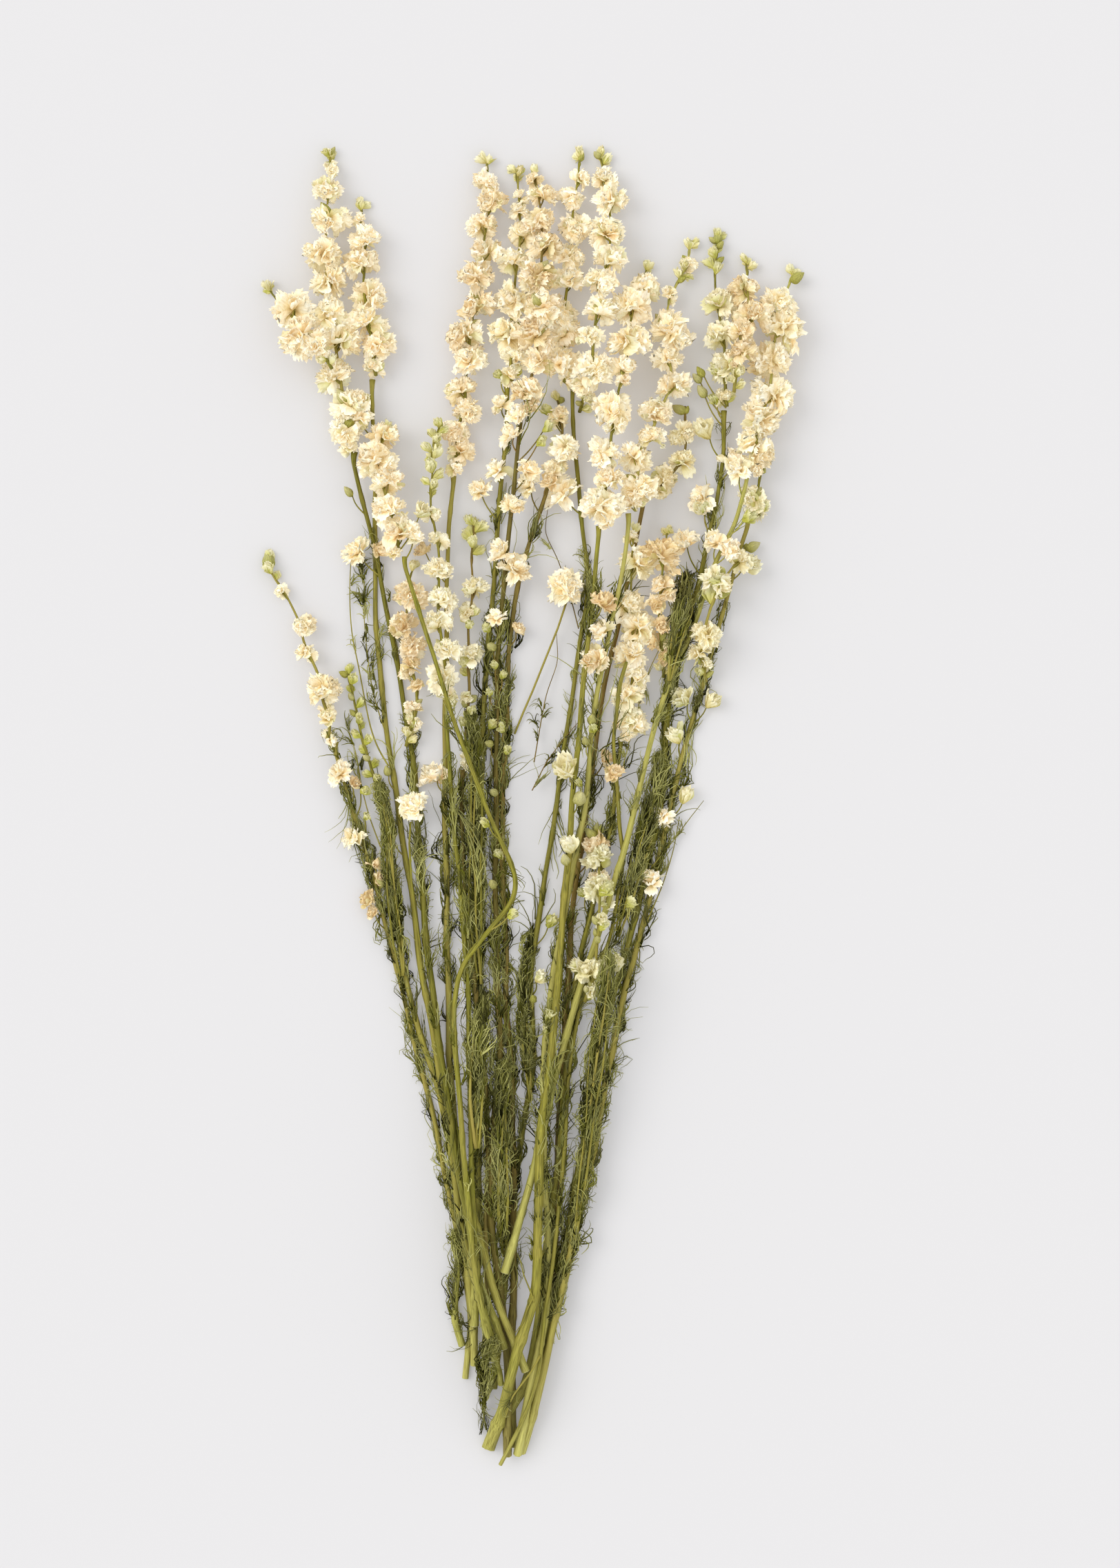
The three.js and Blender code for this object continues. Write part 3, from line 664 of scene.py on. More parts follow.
def petal_batches(rows):
    """Petals as thin crushed shells. Each row of the list has one petal'side base, axis, way out, length,
    width, lean, curl, crush and finish. Up a petal runs 0 to 1, and across it -1 to 1."""
    if not rows:
        return []
    base, axis, out = (np.array([row[k] for row in rows]) for k in range(3))
    length, width, lean, curl, crush = (
        np.array([row[k] for row in rows])[:, None, None] for k in range(3, 8)
    )
    count = len(rows)
    sideways = np.cross(axis, out)
    up = np.linspace(0, 1, petal_rows)[None, :, None]
    side = np.linspace(-1, 1, petal_columns)[None, None, :]
    draw = chance.random((12, count, 1, 1))

    # The outline, curled back along its length, with a frilled end.
    frill = -0.17 * side ** 2 + 0.10 * np.sin((3 + 5 * draw[0]) * side * 2 + draw[1] * 6.3)
    along = up * (1 + frill * up ** 2)
    curl = np.where(np.abs(curl) < 0.02, 0.02, curl)
    angle = lean + curl * along
    forward = length * (np.sin(angle) - np.sin(lean)) / curl
    outward = length * (np.cos(lean) - np.cos(angle)) / curl
    pointed = 1 - 0.45 * draw[2] ** 2 * up ** 4
    half = width / 2 * (0.26 * (1 - up) + np.sin(math.pi * 0.66 * up) ** 1.1) * pointed

    # The section: cupped, folded down its middle, crumpled and twisted.
    cup = (draw[3] - 0.2) * 0.8
    fold = (draw[4] - 0.3) * 0.9
    lift = half * (cup * side ** 2 + fold * np.abs(side))
    shift = side * half * (1 - 0.25 * np.abs(cup) - 0.2 * np.abs(fold))
    for k, depth in enumerate(crumples):
        across = (1.2 + 1.5 * k) * (draw[5] - 0.5) * 3.2 + 1.3 * k
        down = (1.5 + 1.7 * k) * (0.6 + draw[6 + k % 3])
        phase = 6.3 * draw[9 + k % 3] + k
        wave = np.sin(across * side * 2 + down * up * 2.6 + phase)
        lift = lift + crush * length * 0.15 * depth * wave * up ** 0.7
        shift = shift + crush * length * 0.06 * depth * np.cos(across * side + down * up * 3 + phase) * up
    lift = lift + crush * length * 0.045 * np.sin(7.5 * side + 6.3 * draw[10]) * up ** 3
    twist = (draw[8] - 0.5) * 1.3 * up
    normal_forward = np.sin(angle)
    normal_outward = -np.cos(angle)
    shift, lift = shift * np.cos(twist) - lift * np.sin(twist), shift * np.sin(twist) + lift * np.cos(twist)
    forward = forward + lift * normal_forward
    outward = outward + lift * normal_outward

    # The two faces, apart by the petal'side thickness but joined at its edge.
    front = (
        base[:, None, None]
        + forward[..., None] * axis[:, None, None]
        + outward[..., None] * out[:, None, None]
        + shift[..., None] * sideways[:, None, None]
    )
    normal = unit(np.cross(np.gradient(front, axis=1), np.gradient(front, axis=2)))
    inner = np.zeros((1, petal_rows, petal_columns, 1))
    inner[:, 1:-1, 1:-1] = 1
    back = front - normal * petal_thickness * inner
    given = np.array([row[8] for row in rows])
    tip = np.broadcast_to(along, (count, petal_rows, petal_columns))
    rest = [np.broadcast_to(given[:, k][:, None, None], tip.shape) for k in range(3)]
    finish = np.stack([np.clip(tip, 0, 1), *rest], axis=-1)
    number = np.arange(count)[:, None, None] * petal_apart
    places = (side * half / mm, along * length / mm * petal_grain, number + 0 * up)
    fibre = np.stack(np.broadcast_arrays(*places), axis=-1)
    shared = {"fibre": fibre, "finish": finish, "material": petal_material}
    return [
        {"points": above_floor(front), **shared},
        {"points": above_floor(back), **shared, "back": True},
    ]


def bud_batch(rows):
    """Closed buds: five ridged sepals drawn to a point. Each row of the list has one bud's base, axis,
    length, width, tint and age."""
    if not rows:
        return []
    base, axis = (np.array([row[k] for row in rows]) for k in range(2))
    length, width = (np.array([row[k] for row in rows])[:, None, None] for k in (2, 3))
    count = len(rows)
    sideways = unit(np.cross(axis, np.array([0.31, 0.17, 0.93])))
    upwards = np.cross(sideways, axis)
    up = np.linspace(0, 1, bud_rows)[None, :, None]
    turn = np.linspace(0, 2 * math.pi, bud_columns)[None, None, :]
    draw = chance.random((3, count, 1, 1))
    swell = 0.22 * (1 - up) + 0.93 * np.sin(math.pi * up ** 0.8) ** 0.85 + 0.05
    ridge = 0.9 + 0.34 * np.abs(np.sin(2.5 * turn + draw[0] * 6 + up)) + 0.05 * np.sin(9 * up + 3 * turn)
    reach = width / 2 * swell * ridge
    bend = (draw[1] - 0.5) * 0.5 * length * up ** 2
    points = (
        base[:, None, None]
        + (length * up + 0 * turn)[..., None] * axis[:, None, None]
        + (reach * np.cos(turn) + bend)[..., None] * sideways[:, None, None]
        - (reach * np.sin(turn))[..., None] * upwards[:, None, None]
    )
    tint = np.array([row[4] for row in rows])
    age = np.array([row[5] for row in rows])
    finish = finish_rows(count, bud_rows, np.linspace(0, 1, bud_rows), tint, age)
    finish = np.broadcast_to(finish[:, :, None], (count, bud_rows, bud_columns, 4))
    number = np.arange(count)[:, None, None] * petal_apart
    grain = up * length / mm * bud_grain + number + 0 * turn
    places = (reach * np.cos(turn) / mm, reach * np.sin(turn) / mm, grain)
    fibre = np.stack(np.broadcast_arrays(*places), axis=-1)
    batch = {"points": above_floor(points), "fibre": fibre, "finish": finish, "ends": True}
    batch["material"] = bud_material
    return [batch]


def square_to(axis):
    """Two directions square to a flower's axis."""
    other = np.array([0.0, 0.0, 1.0]) if abs(axis[2]) < 0.8 else np.array([1.0, 0.0, 0.0])
    first = np.cross(axis, other)
    first /= np.linalg.norm(first)
    return first, np.cross(axis, first)


class Shoot:
    """What grows on one stalk, spike or sprig, gathered until the piece is made."""

    def __init__(self, stalk_slot):
        self.petals = []
        self.buds = []
        self.stalks = []
        self.stalk_material = stalk_materials[stalk_slot]
        self.middle = None

    def flower(self, at, axis, size, age=0.2, green=0.05, openness=1.0):
        """An open or half closed flower, its petals in whorls round the axis."""
        first, second = square_to(axis)
        own = chance.random()
        age = age + chance.normal(0, 0.15)
        closed = openness < closed_below
        for number, (petals, lean, spread, long, wide) in enumerate(whorls[1:3] if closed else whorls):
            start = chance.random() * 2 * math.pi
            for k in range(petals):
                turn = start + 2 * math.pi * (k + chance.uniform(-0.3, 0.3)) / petals
                out = math.cos(turn) * first + math.sin(turn) * second
                tilt = math.radians(chance.normal(lean, spread)) * openness
                curl = math.radians(chance.normal(5, 15 if closed else 38)) - (1 - openness) * 0.75
                length = size * long * chance.uniform(0.75, 1.12) * (1.15 if closed else 1.0)
                width = size * wide * chance.uniform(0.75, 1.3)
                crush = chance.uniform(0.45, 1.3) * (0.5 if closed else 1.0)
                tint = 0.5 * own + 0.5 * chance.random()
                older = np.clip(age + chance.normal(0, 0.15), 0, 1)
                sepal = 0.5 * chance.random() if number == 0 and chance.random() < sepal_share else 0
                greener = np.clip(green + chance.normal(0, 0.06) + sepal, 0, 1)
                base = at + out * size * 0.05 + axis * size * 0.06 * number
                finish = (tint, older, greener)
                self.petals.append((base, axis, out, length, width, tilt, curl, crush, finish))

    def bud(self, at, axis, size, age=0.1):
        """A closed bud, its length the given size."""
        self.buds.append((at, axis, size, size * chance.uniform(0.42, 0.56), chance.random(), age))

    def stalk_to(self, start, end, lift, thick):
        """A thin flower stalk from one place to another, bowed by lift."""
        share = np.linspace(0, 1, flower_stalk_rows)[:, None]
        line = start * (1 - share) + end * share + lift * np.sin(math.pi * share)
        self.stalks.append((line, np.linspace(thick, thick * 0.75, flower_stalk_rows) / 2))

    def batches(self):
        """Everything gathered, each kind as one batch of the piece."""
        made = petal_batches(self.petals) + bud_batch(self.buds)
        if self.middle is not None:
            line, half = self.middle
            batch = tubes(line[None], half[None], 8, finish_rows(1, len(line), age=0.2))
            batch["material"] = self.stalk_material
            made.append(batch)
        if self.stalks:
            lines = above_floor(np.array([line for line, _ in self.stalks]))
            radii = np.array([half for _, half in self.stalks])
            finish = finish_rows(len(lines), flower_stalk_rows, age=chance.random(len(lines)) * 0.4)
            batch = tubes(lines, radii, thin_stalk_sides, finish)
            batch["material"] = self.stalk_material
            made.append(batch)
        return made


# ---- Flower spikes and side sprigs ----
# Each stalk ends in a spike of flowers set alternately round it, open below and in bud at the tip. Side
# sprigs are shorter spikes that branch off lower down. Both grow on a thin stalk up their middle.

floret_size = 10.4 * mm  # from a flower's base to its longest petal's tip
bud_below = 3.6 * mm  # of half width: a spike this thin has only buds
three_above = 5.5 * mm  # of half width: a spike this wide has three flowers to a tier, not two
tier_spacing = 2.0
extra_bud_share = 0.3
flower_stalk = 0.9 * mm
bud_stalk = 0.8 * mm
bud_lengths = (5 * mm, 8.5 * mm)
bud_openness = 0.38
least_bud_step = 2.6 * mm
least_tier_step = 5 * mm
spike_foot = 2 * mm
golden_turn = 2.39996  # radians from one bud to the next
end_buds = {"flowers_outer_left": 10 * mm, "flowers_bud_right": 7 * mm}
spikes = {  # age, greenness, share of closed buds, tip in bud (mm), spacing as a share of a flower
    "flowers_outer_left": (0.25, 0.12, 0.1, 16, 1.35),
    "flowers_long_spike": (0.40, 0.03, 0.0, 3, 0.80),
    "flowers_thick_centre": (0.15, 0.12, 0.0, 8, 0.85),
    "flowers_double_left": (0.25, 0.06, 0.0, 5, 0.85),
    "flowers_green_right": (0.30, 0.25, 0.2, 5, 0.90),
    "flowers_bud_right": (0.15, 0.30, 0.2, 24, 0.95),
    "flowers_outer_right": (0.15, 0.25, 0.2, 5, 0.90),
    "flowers_bud_left": (0.10, 0.60, 0.9, 40, 1.50),
    "flowers_cream_sprig": (0.10, 0.30, 0.2, 22, 1.10),
    "flowers_middle": (0.35, 0.10, 0.1, 4, 0.90),
    "flowers_low_spike": (0.10, 0.14, 0.1, 5, 0.85),
    "flowers_right_middle": (0.30, 0.08, 0.0, 4, 0.85),
    "flowers_tan_centre": (0.55, 0.05, 0.0, 4, 0.85),
    "flowers_tall_left": (0.30, 0.08, 0.0, 6, 0.85),
    "flowers_far_left": (0.15, 0.10, 0.0, 6, 0.85),
    "flowers_bud_spike": (0.10, 0.22, 0.1, 30, 1.00),
    "flowers_bright_right": (0.30, 0.10, 0.0, 8, 0.80),
    "flowers_thick_foot": (0.30, 0.06, 0.0, 4, 0.85),
    "flowers_looped": (0.30, 0.05, 0.0, 3, 0.80),
    "sprig_nodding_left": (0.30, 0.05, 0.0, 4, 0.80),
    "sprig_double_right": (0.25, 0.08, 0.0, 8, 0.85),
    "sprig_inner_left": (0.60, 0.05, 0.0, 3, 0.95),
    "sprig_right_twin": (0.60, 0.05, 0.0, 4, 0.90),
    "sprig_brown_right": (0.95, 0.05, 0.0, 3, 0.95),
    "sprig_pale_right": (0.15, 0.30, 0.2, 6, 0.95),
    "sprig_low_right": (0.10, 0.50, 0.5, 10, 1.20),
}


def petal_slot(name):
    """The finish of a run of flowers, which follows from its age and its greenness."""
    age, green = spikes[name][:2]
    if green >= 0.5:
        return "buds"
    return "petals_aged" if age >= 0.45 else "petals"


def grow_spike(shoot, line, half, look):
    """Tiers of two or three flowers up a line, leaning left and right of it in turn, each as large as
    the half width there allows, then single buds towards the tip."""
    age, green, closed, tip, spacing = look
    line, half, at = even_steps(eased(line, 4), half, 1 * mm)
    heading, sideways, upwards = ways_round(line)
    shoot.middle = (line[::3], np.linspace(0.9, 0.4, len(line[::3])) * mm)
    lean_to = chance.choice([-1.0, 1.0])
    turn = 0.0
    place = spike_foot
    while place < at[-1]:
        k = min(int(np.searchsorted(at, place)), len(line) - 1)
        reach = half[k]
        left = at[-1] - place
        near_tip = left < tip * mm
        start = line[max(0, k - 6)]
        if near_tip or reach < bud_below or chance.random() < closed:
            # One bud, or one flower that hardly opened, further round the spike than the last.
            outwards = math.cos(turn) * sideways[k] + math.sin(turn) * upwards[k]
            axis = unit(outwards + heading[k] * chance.uniform(0.7, 1.3))
            long = np.clip(reach * chance.uniform(1.3, 1.8), *bud_lengths)
            root = line[k] + outwards * max(0.6 * mm, reach - long * 0.8) * chance.uniform(0.5, 1.0)
            if near_tip and left < 3 * mm:
                axis = unit(heading[k] + 0.3 * outwards)
                root = line[k] - heading[k] * long * 0.6
            shoot.stalk_to(start, root, outwards * 0.4 * mm, bud_stalk)
            if chance.random() < 0.4 + 0.5 * (1 - green):
                shoot.flower(root, axis, long, age * 0.5, min(1, green + 0.5), bud_openness)
            else:
                shoot.bud(root, axis, long)
            place += max(least_bud_step, long * 0.5) * spacing
            turn += golden_turn
        else:
            # A tier of open flowers round one place, which leans to the other side than the last.
            middle = line[k] + sideways[k] * lean_to * reach * chance.uniform(0.12, 0.34)
            flowers = 3 if reach > three_above else 2
            turn = chance.uniform(30, 150)
            for number in range(flowers):
                angle = math.radians(turn + 360 / flowers * number + chance.normal(0, 18))
                outwards = math.cos(angle) * sideways[k] + math.sin(angle) * upwards[k]
                axis = unit(outwards + heading[k] * chance.normal(0.5, 0.6))
                size = min(reach * 1.1, floret_size) * chance.uniform(0.85, 1.12)
                root = middle + outwards * 0.1 * reach - heading[k] * chance.uniform(0, 3) * mm
                openness = chance.uniform(0.62, 1.05) if left > 2.5 * tip * mm else chance.uniform(0.6, 0.8)
                shoot.stalk_to(start, root, outwards * 0.5 * mm, flower_stalk)
                shoot.flower(root, axis, size, age, green, openness)
            if chance.random() < extra_bud_share:
                shoot.bud(middle, unit(sideways[k] * -lean_to + heading[k]), reach * chance.uniform(0.9, 1.2))
            step = spacing * tier_spacing * reach * chance.uniform(0.85, 1.2)
            place += max(least_tier_step, min(step, left - 0.9 * tip * mm))
            lean_to = -lean_to


for name, look in spikes.items():
    line, half = route_of(name)
    kind = name.split("_", 1)[1]
    shoot = Shoot(stalk_slot(kind))
    grow_spike(shoot, line, half, look)
    if name in end_buds:
        axis = unit(line[-1] - line[-3])
        shoot.bud(line[-1] - axis * end_buds[name] * 0.8, axis, end_buds[name], 0.0)
    make_piece(name, shoot.batches(), petal_slot(name))


# ---- Single flowers on thin stalks ----
# Two thin side stalks carry one large, very full flower each, and nothing else. Each flower is made of
# three sets of whorls, one inside the other, the inner ones smaller and less open.

single_flowers = {"sprig_lone_floret": (11.5 * mm, 0.15), "sprig_lone_white": (9.5 * mm, 0.05)}  # size, age
whorl_sets = ((1.0, 1.0), (0.85, 0.85), (0.65, 0.7))  # share of the flower's size, openness
head_from = 3 * mm  # of half width, where the stalk ends and the flower starts
single_stalk = 1.2 * mm

for name, (size, age) in single_flowers.items():
    line, half = route_of(name)
    line = eased(line, 3)
    shoot = Shoot("stalk_olive")
    top = np.flatnonzero(half > head_from)
    heading, sideways, upwards = ways_round(line)
    middle = line[top].mean(axis=0)
    foot = line[: top[0] + 2]
    stations = np.linspace(0, len(foot) - 1, flower_stalk_rows).astype(int)
    shoot.stalks.append((foot[stations], np.full(flower_stalk_rows, single_stalk / 2)))
    axis = unit(heading[top[0]] * 0.5 + np.array([0.0, 0.0, 0.8]))
    base = middle - axis * size * 0.3
    for share, openness in whorl_sets:
        lean = unit(axis + chance.normal(0, 0.15, 3))
        shoot.flower(base + axis * (1 - share) * 4 * mm, lean, size * share, age, 0.02, openness)
    make_piece(name, shoot.batches(), "petals")


# ---- Stalk pieces with their leaves and side flowers ----
# Every stalk carries leaf threads along part of it, single side flowers and buds below its spike, each on
# its own thin flower stalk, and here and there a fan of leaves or a thin shoot that has come away from it.

leafy = {  # from and to, up the stalk from its foot (mm), threads for each mm
    "outer_left": [(60, 220, 1.4), (220, 316, 2.6)],
    "far_left": [(60, 200, 0.8), (205, 300, 2.8), (300, 400, 0.5)],
    "tall_left": [(100, 400, 0.2)],
    "bud_left": [(30, 250, 2.0)],
    "looped": [(0, 350, 0.15)],
    "long_spike": [(40, 160, 0.7), (160, 260, 1.6)],
    "bud_spike": [(20, 150, 0.6), (160, 310, 1.6)],
    "thick_centre": [(10, 130, 2.0), (130, 350, 2.6), (350, 440, 0.6)],
    "tan_centre": [(60, 420, 2.6)],
    "middle": [(80, 420, 2.0), (420, 470, 0.6)],
    "cream_sprig": [(20, 120, 0.8), (120, 310, 1.8)],
    "double_left": [(40, 180, 0.8), (180, 380, 0.5), (380, 415, 3.0)],
    "thick_foot": [(60, 220, 1.0), (350, 440, 1.0)],
    "green_right": [(60, 320, 1.5)],
    "low_spike": [(70, 330, 1.5)],
    "right_middle": [(60, 260, 2.0), (260, 450, 0.5)],
    "wire": [(120, 260, 1.0), (260, 390, 0.3)],
    "bud_right": [(20, 210, 2.8), (210, 380, 2.4), (380, 470, 0.8)],
    "bright_right": [(40, 200, 0.3), (210, 340, 1.4)],
    "outer_right": [(60, 240, 2.8), (240, 420, 1.8)],
    "stub": [(0, 56, 3.0)],
}
side_flowers = {  # up the stalk from its foot, out to the side and half the width (mm), and what it is
    "outer_left": [
        (270, -2, 6, "cream"), (302, 0, 6, "cream"), (296, 4, 4, "tan"), (256, 3, 4, "tan"),
        (249, 3, 4, "tan"), (239, -4, 5, "tan"), (232, -3, 4, "tan"), (292, 7, 3, "bud"), (279, 5, 3, "bud"),
    ],
    "far_left": [(395, -7, 7, "cream"), (422, -4, 3.5, "bud")],
    "tall_left": [
        (406, 2, 5, "tan"), (481, -5, 6, "cream"), (473, -6, 6, "cream"), (295, -2, 3, "bud"),
        (264, -4, 3.5, "pale"),
    ],
    "looped": [(417, 13, 5, "pale"), (407, 8, 5, "white"), (264, -2, 3, "bud"), (220, 2, 4, "bud")],
    "bud_left": [(225, -3, 3, "bud")],
    "long_spike": [(405, -11, 5, "tan"), (294, -4, 8, "cream")],
    "thick_centre": [
        (345, 0, 3.5, "bud"), (297, 3, 3.5, "bud"), (425, -2, 6, "cream"), (415, -10, 6, "cream"),
        (470, -4, 3.5, "bud"), (457, -2, 5, "cream"),
    ],
    "tan_centre": [
        (401, -2, 3.5, "bud"), (391, -1, 3, "bud"), (386, 2, 3, "bud"), (378, -3, 3, "bud"),
        (353, -2, 3, "bud"), (329, 0, 3.5, "bud"), (283, -1, 3.5, "bud"), (416, -2, 5, "white"),
        (471, 0, 6, "cream"), (449, -2, 6, "cream"), (441, 4, 7, "cream"), (489, 6, 6, "cream"),
        (506, -3, 6, "cream"), (516, -4, 6, "cream"), (501, 9, 4, "bud"), (508, 11, 4, "bud"),
    ],
    "middle": [
        (356, -1, 3, "bud"), (345, 1, 3, "bud"), (294, -1, 4, "bud"), (406, 2, 4, "tan"),
        (478, -8, 6, "cream"), (480, -2, 5, "tan"),
    ],
    "double_left": [
        (447, -7, 9, "white"), (484, -11, 4, "bud"), (231, 5, 4.5, "bud"), (204, 2, 4, "pale"),
        (194, 1, 3, "bud"),
    ],
    "thick_foot": [
        (390, 1, 4, "tan"), (420, 4, 7, "tan"), (338, -2, 8, "pale"), (323, 2, 5, "bud"),
        (298, 1, 5, "pale"), (292, -1, 4, "bud"),
    ],
    "right_middle": [
        (396, -3, 7, "cream"), (409, -3, 6, "cream"), (363, -1, 3.5, "bud"), (359, 1, 3, "bud"),
        (353, -2, 3, "bud"), (333, -3, 3.5, "bud"), (218, 1, 4, "bud"), (211, 0, 3, "bud"),
    ],
    "wire": [(343, -1, 5, "tan"), (278, 5, 4, "bud"), (250, 2, 7, "pale")],
    "green_right": [(334, 5, 5, "tan"), (287, 5, 5, "pale")],
    "low_spike": [
        (283, -4, 7, "tan"), (273, -3, 5, "pale"), (265, 0, 6, "cream"), (257, -5, 3.5, "bud"),
        (254, 3, 5, "pale"),
    ],
    "bud_right": [
        (458, 4, 7, "cream"), (441, -7, 6, "cream"), (434, -5, 5, "pale"), (418, -10, 7, "cream"),
        (386, -16, 4, "pale"), (368, -10, 4, "bud"), (398, -13, 6, "cream"), (500, -10, 3.5, "bud"),
        (497, -12, 3.5, "bud"), (490, -10, 4, "bud"), (487, -4, 4, "bud"), (471, -7, 6, "pale"),
    ],
    "bright_right": [
        (152, -2, 5, "pale"), (398, -8, 6, "cream"), (373, 3, 5, "bud"), (362, -5, 6, "cream"),
        (358, 2, 6, "cream"), (313, 5, 4, "tan"),
    ],
    "outer_right": [
        (375, -6, 6, "pale"), (372, 4, 5, "pale"), (355, -4, 6, "pale"), (325, 5, 6, "pale"),
        (317, -2, 5, "white"), (285, -1, 6, "cream"), (442, 3, 6, "pale"), (435, -5, 5, "bud"),
    ],
}
side_looks = {  # age, greenness, openness
    "bud": (0.05, 1.0, 0.34),
    "cream": (0.20, 0.06, 0.95),
    "white": (0.02, 0.02, 1.0),
    "tan": (0.85, 0.05, 0.7),
    "pale": (0.10, 0.45, 0.5),
}


near_stalk = 2  # mm out from a stalk: a flower nearer than this lies over it, to either side
side_bow = np.array([1.2, 0, 0.6]) * mm
bud_share = 0.4  # of the side buds, those still shut; the rest show a few green petals
bud_stretch = 1.9  # a shut bud's length, as a share of half its width
open_stretch = 1.25
closed_stretch = 1.6


def side_flower(shoot, line, up, out, size, look):
    """One flower or bud beside a stalk, on a thin flower stalk that leaves it lower down."""
    y = line[0, 1] + up * mm
    spot = np.array([np.interp(y, line[:, 1], line[:, k]) for k in range(3)])
    below = y - (7 + abs(out)) * mm
    start = np.array([np.interp(below, line[:, 1], line[:, k]) for k in range(3)])
    side = 1.0 if out > 0 else -1.0
    if abs(out) < near_stalk:
        side = chance.uniform(-0.5, 0.5)
    lift = max(0.0, 4 - abs(out)) * mm
    end = spot + np.array([out * mm, -size * 0.5 * mm, lift + chance.uniform(0, 1.5) * mm])
    across = side * chance.uniform(0.3, 0.8)
    axis = unit(np.array([across, chance.uniform(0.3, 0.9), chance.uniform(0.3, 0.9)]))
    shoot.stalk_to(start, end, side_bow * np.array([side, 1, 1]), flower_stalk)
    if look == "bud" and chance.random() < bud_share:
        shoot.bud(end, axis, size * bud_stretch * mm)
    else:
        age, green, openness = side_looks[look]
        stretch = open_stretch if openness > closed_below else closed_stretch
        shoot.flower(end, axis, size * stretch * mm, age, green, openness)


loose_share = 0.15  # of a stalk's leaves, those that stand off it
leaf_length = 12 * mm
loose_leaf_length = 20 * mm
fan_from = 150 * mm
fan_spacing = 34 * mm
fan_share = 0.5
fan_lengths = (13, 24)  # mm
shoot_rows = 28
shoot_leaf_length = 9 * mm

# Each shoot: its route from the stalk to its tip, across and along the bunch and, where it lies on top of
# the others, its height (mm); its thickness (mm); and its leaf threads for each mm.
side_shoots = {
    "far_left": [
        ([(-70, 20), (-76, 30), (-80, 42), (-85, 70), (-88.6, 86), (-89.7, 106), (-88.6, 125)], 1.0, 0.15),
        ([(-72, 38), (-78, 56), (-81, 78), (-82.5, 96), (-82, 108), (-84, 120)], 0.7, 2.0),
    ],
    "bud_left": [([(-74, -20), (-80, -4), (-84, 12), (-86, 26), (-90, 38)], 0.8, 0.8)],
    "tan_centre": [
        ([(2, 22), (5, 40), (8, 56), (14, 72), (13, 86)], 0.7, 0.4),
        ([(1, 8), (8, 22), (17, 34), (24, 42)], 0.7, 0.9),
    ],
    "middle": [([(24, 88), (20, 104), (14, 122), (7, 136), (9, 149)], 0.7, 0.5)],
    "outer_right": [
        ([(52, -70), (60, -52), (66, -38), (71, -22), (74, -5)], 0.9, 0.1),
        ([(60, -30), (70, -18), (79, -6), (86, 3)], 0.7, 0.6),
    ],
    "bright_right": [([(46, 20), (52, 44), (58, 66), (68, 86), (70, 100)], 0.7, 0.6)],
    "wire": [([(14, -120), (4, -124), (-6, -131), (-12, -142)], 0.6, 0.6)],
    "thick_foot": [
        ([(2, -243, 20.3), (0, -237, 20.4), (-3, -230, 18.5), (-5, -222, 17)], 1.1, 0.0),
        ([(2, -240, 20.3), (-1, -246, 21.0), (-3, -252, 21.6), (-7, -258, 20.5)], 0.9, 0.0),
        ([(5, -270, 15.2), (1, -277, 20.0), (-4, -283, 22.2), (-9, -290, 21.0), (-12, -300, 17.6)], 1.3, 0.3),
    ],
}


def side_shoot(route, thick, density, slot):
    """A thin shoot that left its stalk and lies beside the bunch, with a few thread leaves."""
    route = np.array(route) * mm
    share = np.linspace(0, 1, len(route))
    fine = np.linspace(0, 1, shoot_rows)
    line = eased(np.stack([np.interp(fine, share, route[:, k]) for k in range(route.shape[1])], axis=1), 4)
    low = (1.5 + 3.5 * (1 - fine) ** 2 + 1.2 * np.sin(7 * fine + chance.uniform(0, 6)) ** 2) * mm
    if line.shape[1] < 3:
        line = np.concatenate([line, low[:, None]], axis=1)
    thin = np.linspace(thick, thick * 0.5, len(line)) * mm / 2
    batch = tubes(line[None], thin[None], thin_stalk_sides, finish_rows(1, len(line), age=0.3))
    batch["material"] = stalk_materials[slot]
    run = np.linalg.norm(np.diff(line, axis=0), axis=1).sum()
    count = int(run / mm * density)
    return [batch, leaf_threads(line, thin, count, shoot_leaf_length, 1.0, 0.8, 0.15, 0.0)]


for kind, (line, half) in stalks.items():
    name = "stem_" + kind
    slot = stalk_slot(kind)
    batches = [stalk_batch(line, half, slot)]
    for low, high, density in leafy[kind]:
        inside = (line[:, 1] > line[0, 1] + low * mm) & (line[:, 1] < line[0, 1] + high * mm)
        part, width = line[inside], half[inside] + 1.0 * mm
        count = int((high - low) * density * 1.1)
        batches.append(leaf_threads(part, width, count, leaf_length, 0.8, 0.45, 0.1, 0.4))
        loose = int(count * loose_share)
        batches.append(leaf_threads(part, width, loose, loose_leaf_length, 1.2, 0.6, 0.1, 0.1))
    for place in np.arange(line[0, 1] + fan_from, line[-1, 1] - 10 * mm, fan_spacing):
        place += chance.uniform(-14, 14) * mm
        near = np.abs(line[:, 1] - place) < 5 * mm
        if near.sum() > 2 and chance.random() < fan_share:
            long = chance.uniform(*fan_lengths) * mm
            batches.append(leaf_threads(line[near], half[near], threads_per_leaf, long, 0.7, 0.45, 0.1, 0.0))
    for route, thick, density in side_shoots.get(kind, []):
        batches += side_shoot(route, thick, density, slot)
    shoot = Shoot(slot)
    whole = line
    if "flowers_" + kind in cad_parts:
        whole = np.concatenate([line, route_of("flowers_" + kind)[0]])
    for up, out, size, look in side_flowers.get(kind, []):
        side_flower(shoot, whole, up, out, size, look)
    make_piece(name, batches + shoot.batches(), slot)


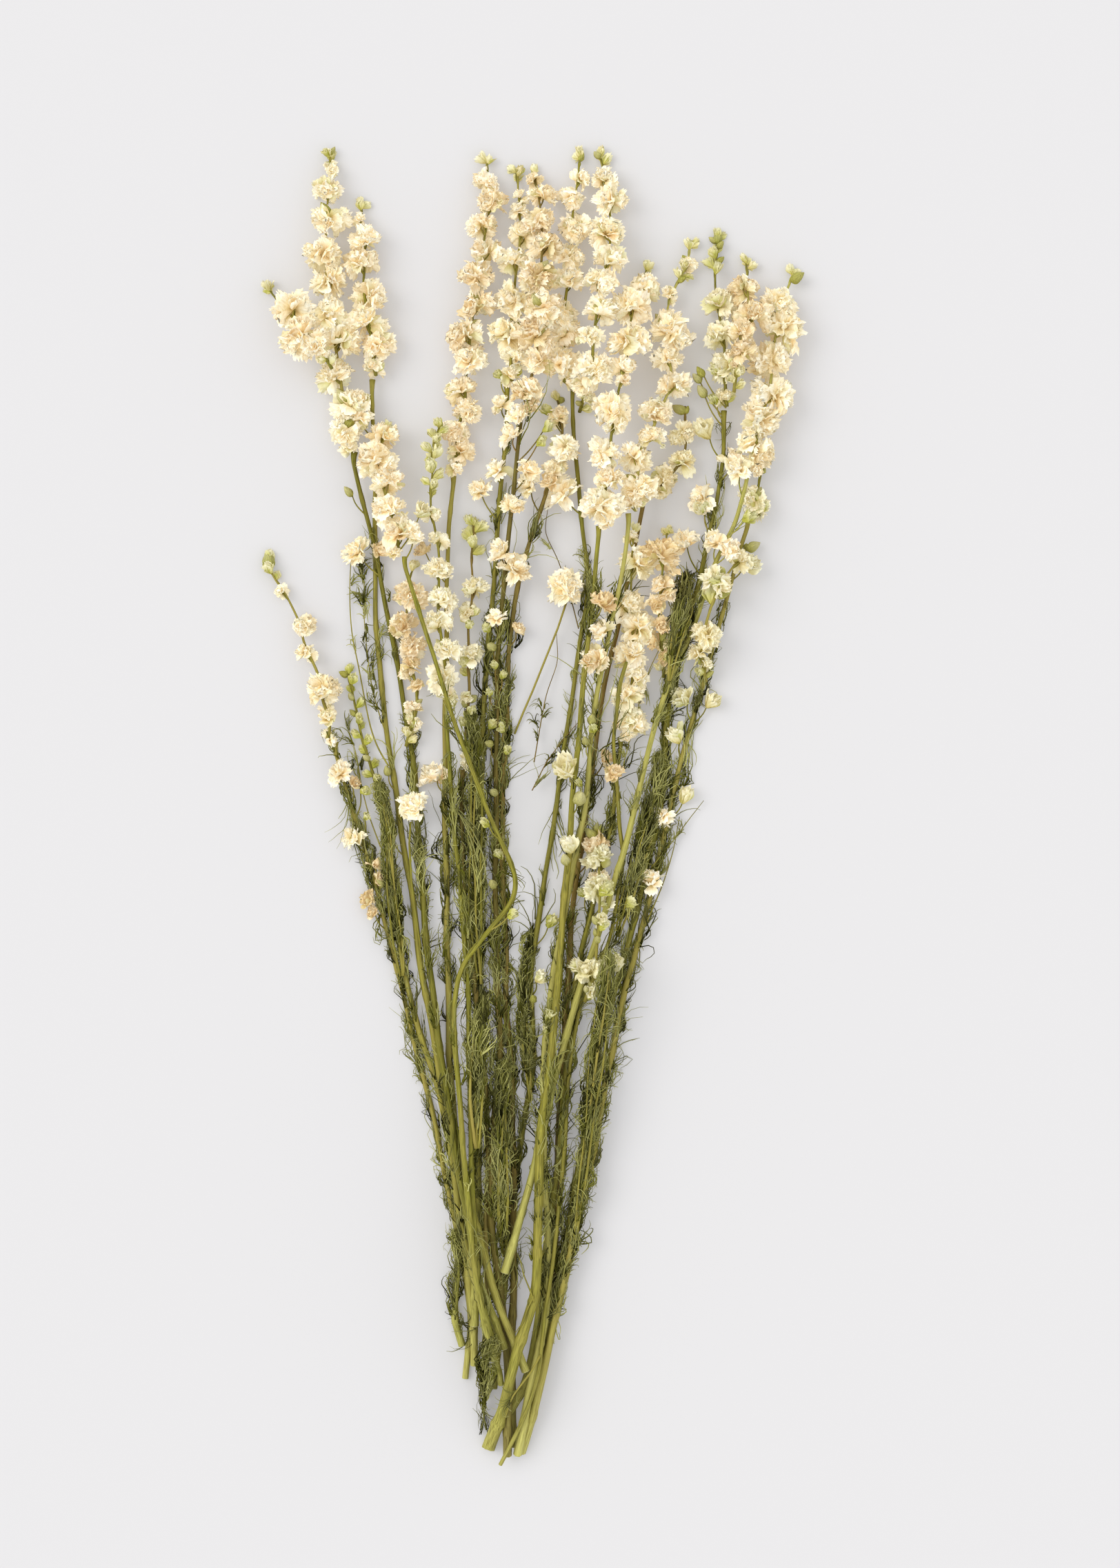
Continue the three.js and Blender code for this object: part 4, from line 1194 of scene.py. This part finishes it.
# ---- Floor, light and camera ----
# The bunch lies on a plain pale sheet under one large soft lamp at the upper left, in a bright white room.
# The camera looks straight down on it from above its middle.

floor_size = 6.0
floor_shade = (0.469, 0.462, 0.462, 1)
floor_glow = (1.0, 0.985, 0.985, 1)
floor_glow_strength = 0.18
floor_roughness = 0.9
bpy.ops.mesh.primitive_plane_add(size=floor_size)
floor = bpy.context.object
floor.name = "floor"
floor_material = bpy.data.materials.new("pale_paper")
floor_material.use_nodes = True
paper = floor_material.node_tree.nodes["Principled BSDF"]
paper.inputs["Base Color"].default_value = floor_shade
paper.inputs["Emission Color"].default_value = floor_glow
paper.inputs["Emission Strength"].default_value = floor_glow_strength
paper.inputs["Roughness"].default_value = floor_roughness
floor.data.materials.append(floor_material)

room_shade = (0.97, 0.98, 1.0, 1)
room_strength = 1.17
room = bpy.data.worlds.new("soft_room")
bpy.context.scene.world = room
room.use_nodes = True
room.node_tree.nodes["Background"].inputs["Color"].default_value = room_shade
room.node_tree.nodes["Background"].inputs["Strength"].default_value = room_strength

lamp_strength = 1.17
lamp_softness = 38  # degrees across
lamp_shade = (1.0, 0.985, 0.965)
lamp_tilt = (-14, -42)  # degrees from straight above, towards the head and to the left
lamp = bpy.data.lights.new("window", "SUN")
lamp.energy = lamp_strength
lamp.angle = math.radians(lamp_softness)
lamp.color = lamp_shade
window = bpy.data.objects.new("window", lamp)
window.rotation_euler = (math.radians(lamp_tilt[0]), math.radians(lamp_tilt[1]), 0)
bpy.context.scene.collection.objects.link(window)

view_length = 0.773  # of the floor, from the top of the view to its bottom
view_middle = (0.0148, 0.0112)
bunch_height = 0.012
lens = 85.0
sensor = 36.0
camera_data = bpy.data.cameras.new("camera")
camera_data.lens = lens
camera_data.sensor_width = sensor
camera = bpy.data.objects.new("camera", camera_data)
camera.location = (*view_middle, bunch_height + view_length * lens / sensor)
camera.rotation_euler = (0, 0, 0)
bpy.context.scene.collection.objects.link(camera)
bpy.context.scene.camera = camera
bpy.context.scene.view_settings.view_transform = "Standard"
bpy.context.scene.cycles.diffuse_bounces = 12
bpy.context.scene.cycles.max_bounces = 16
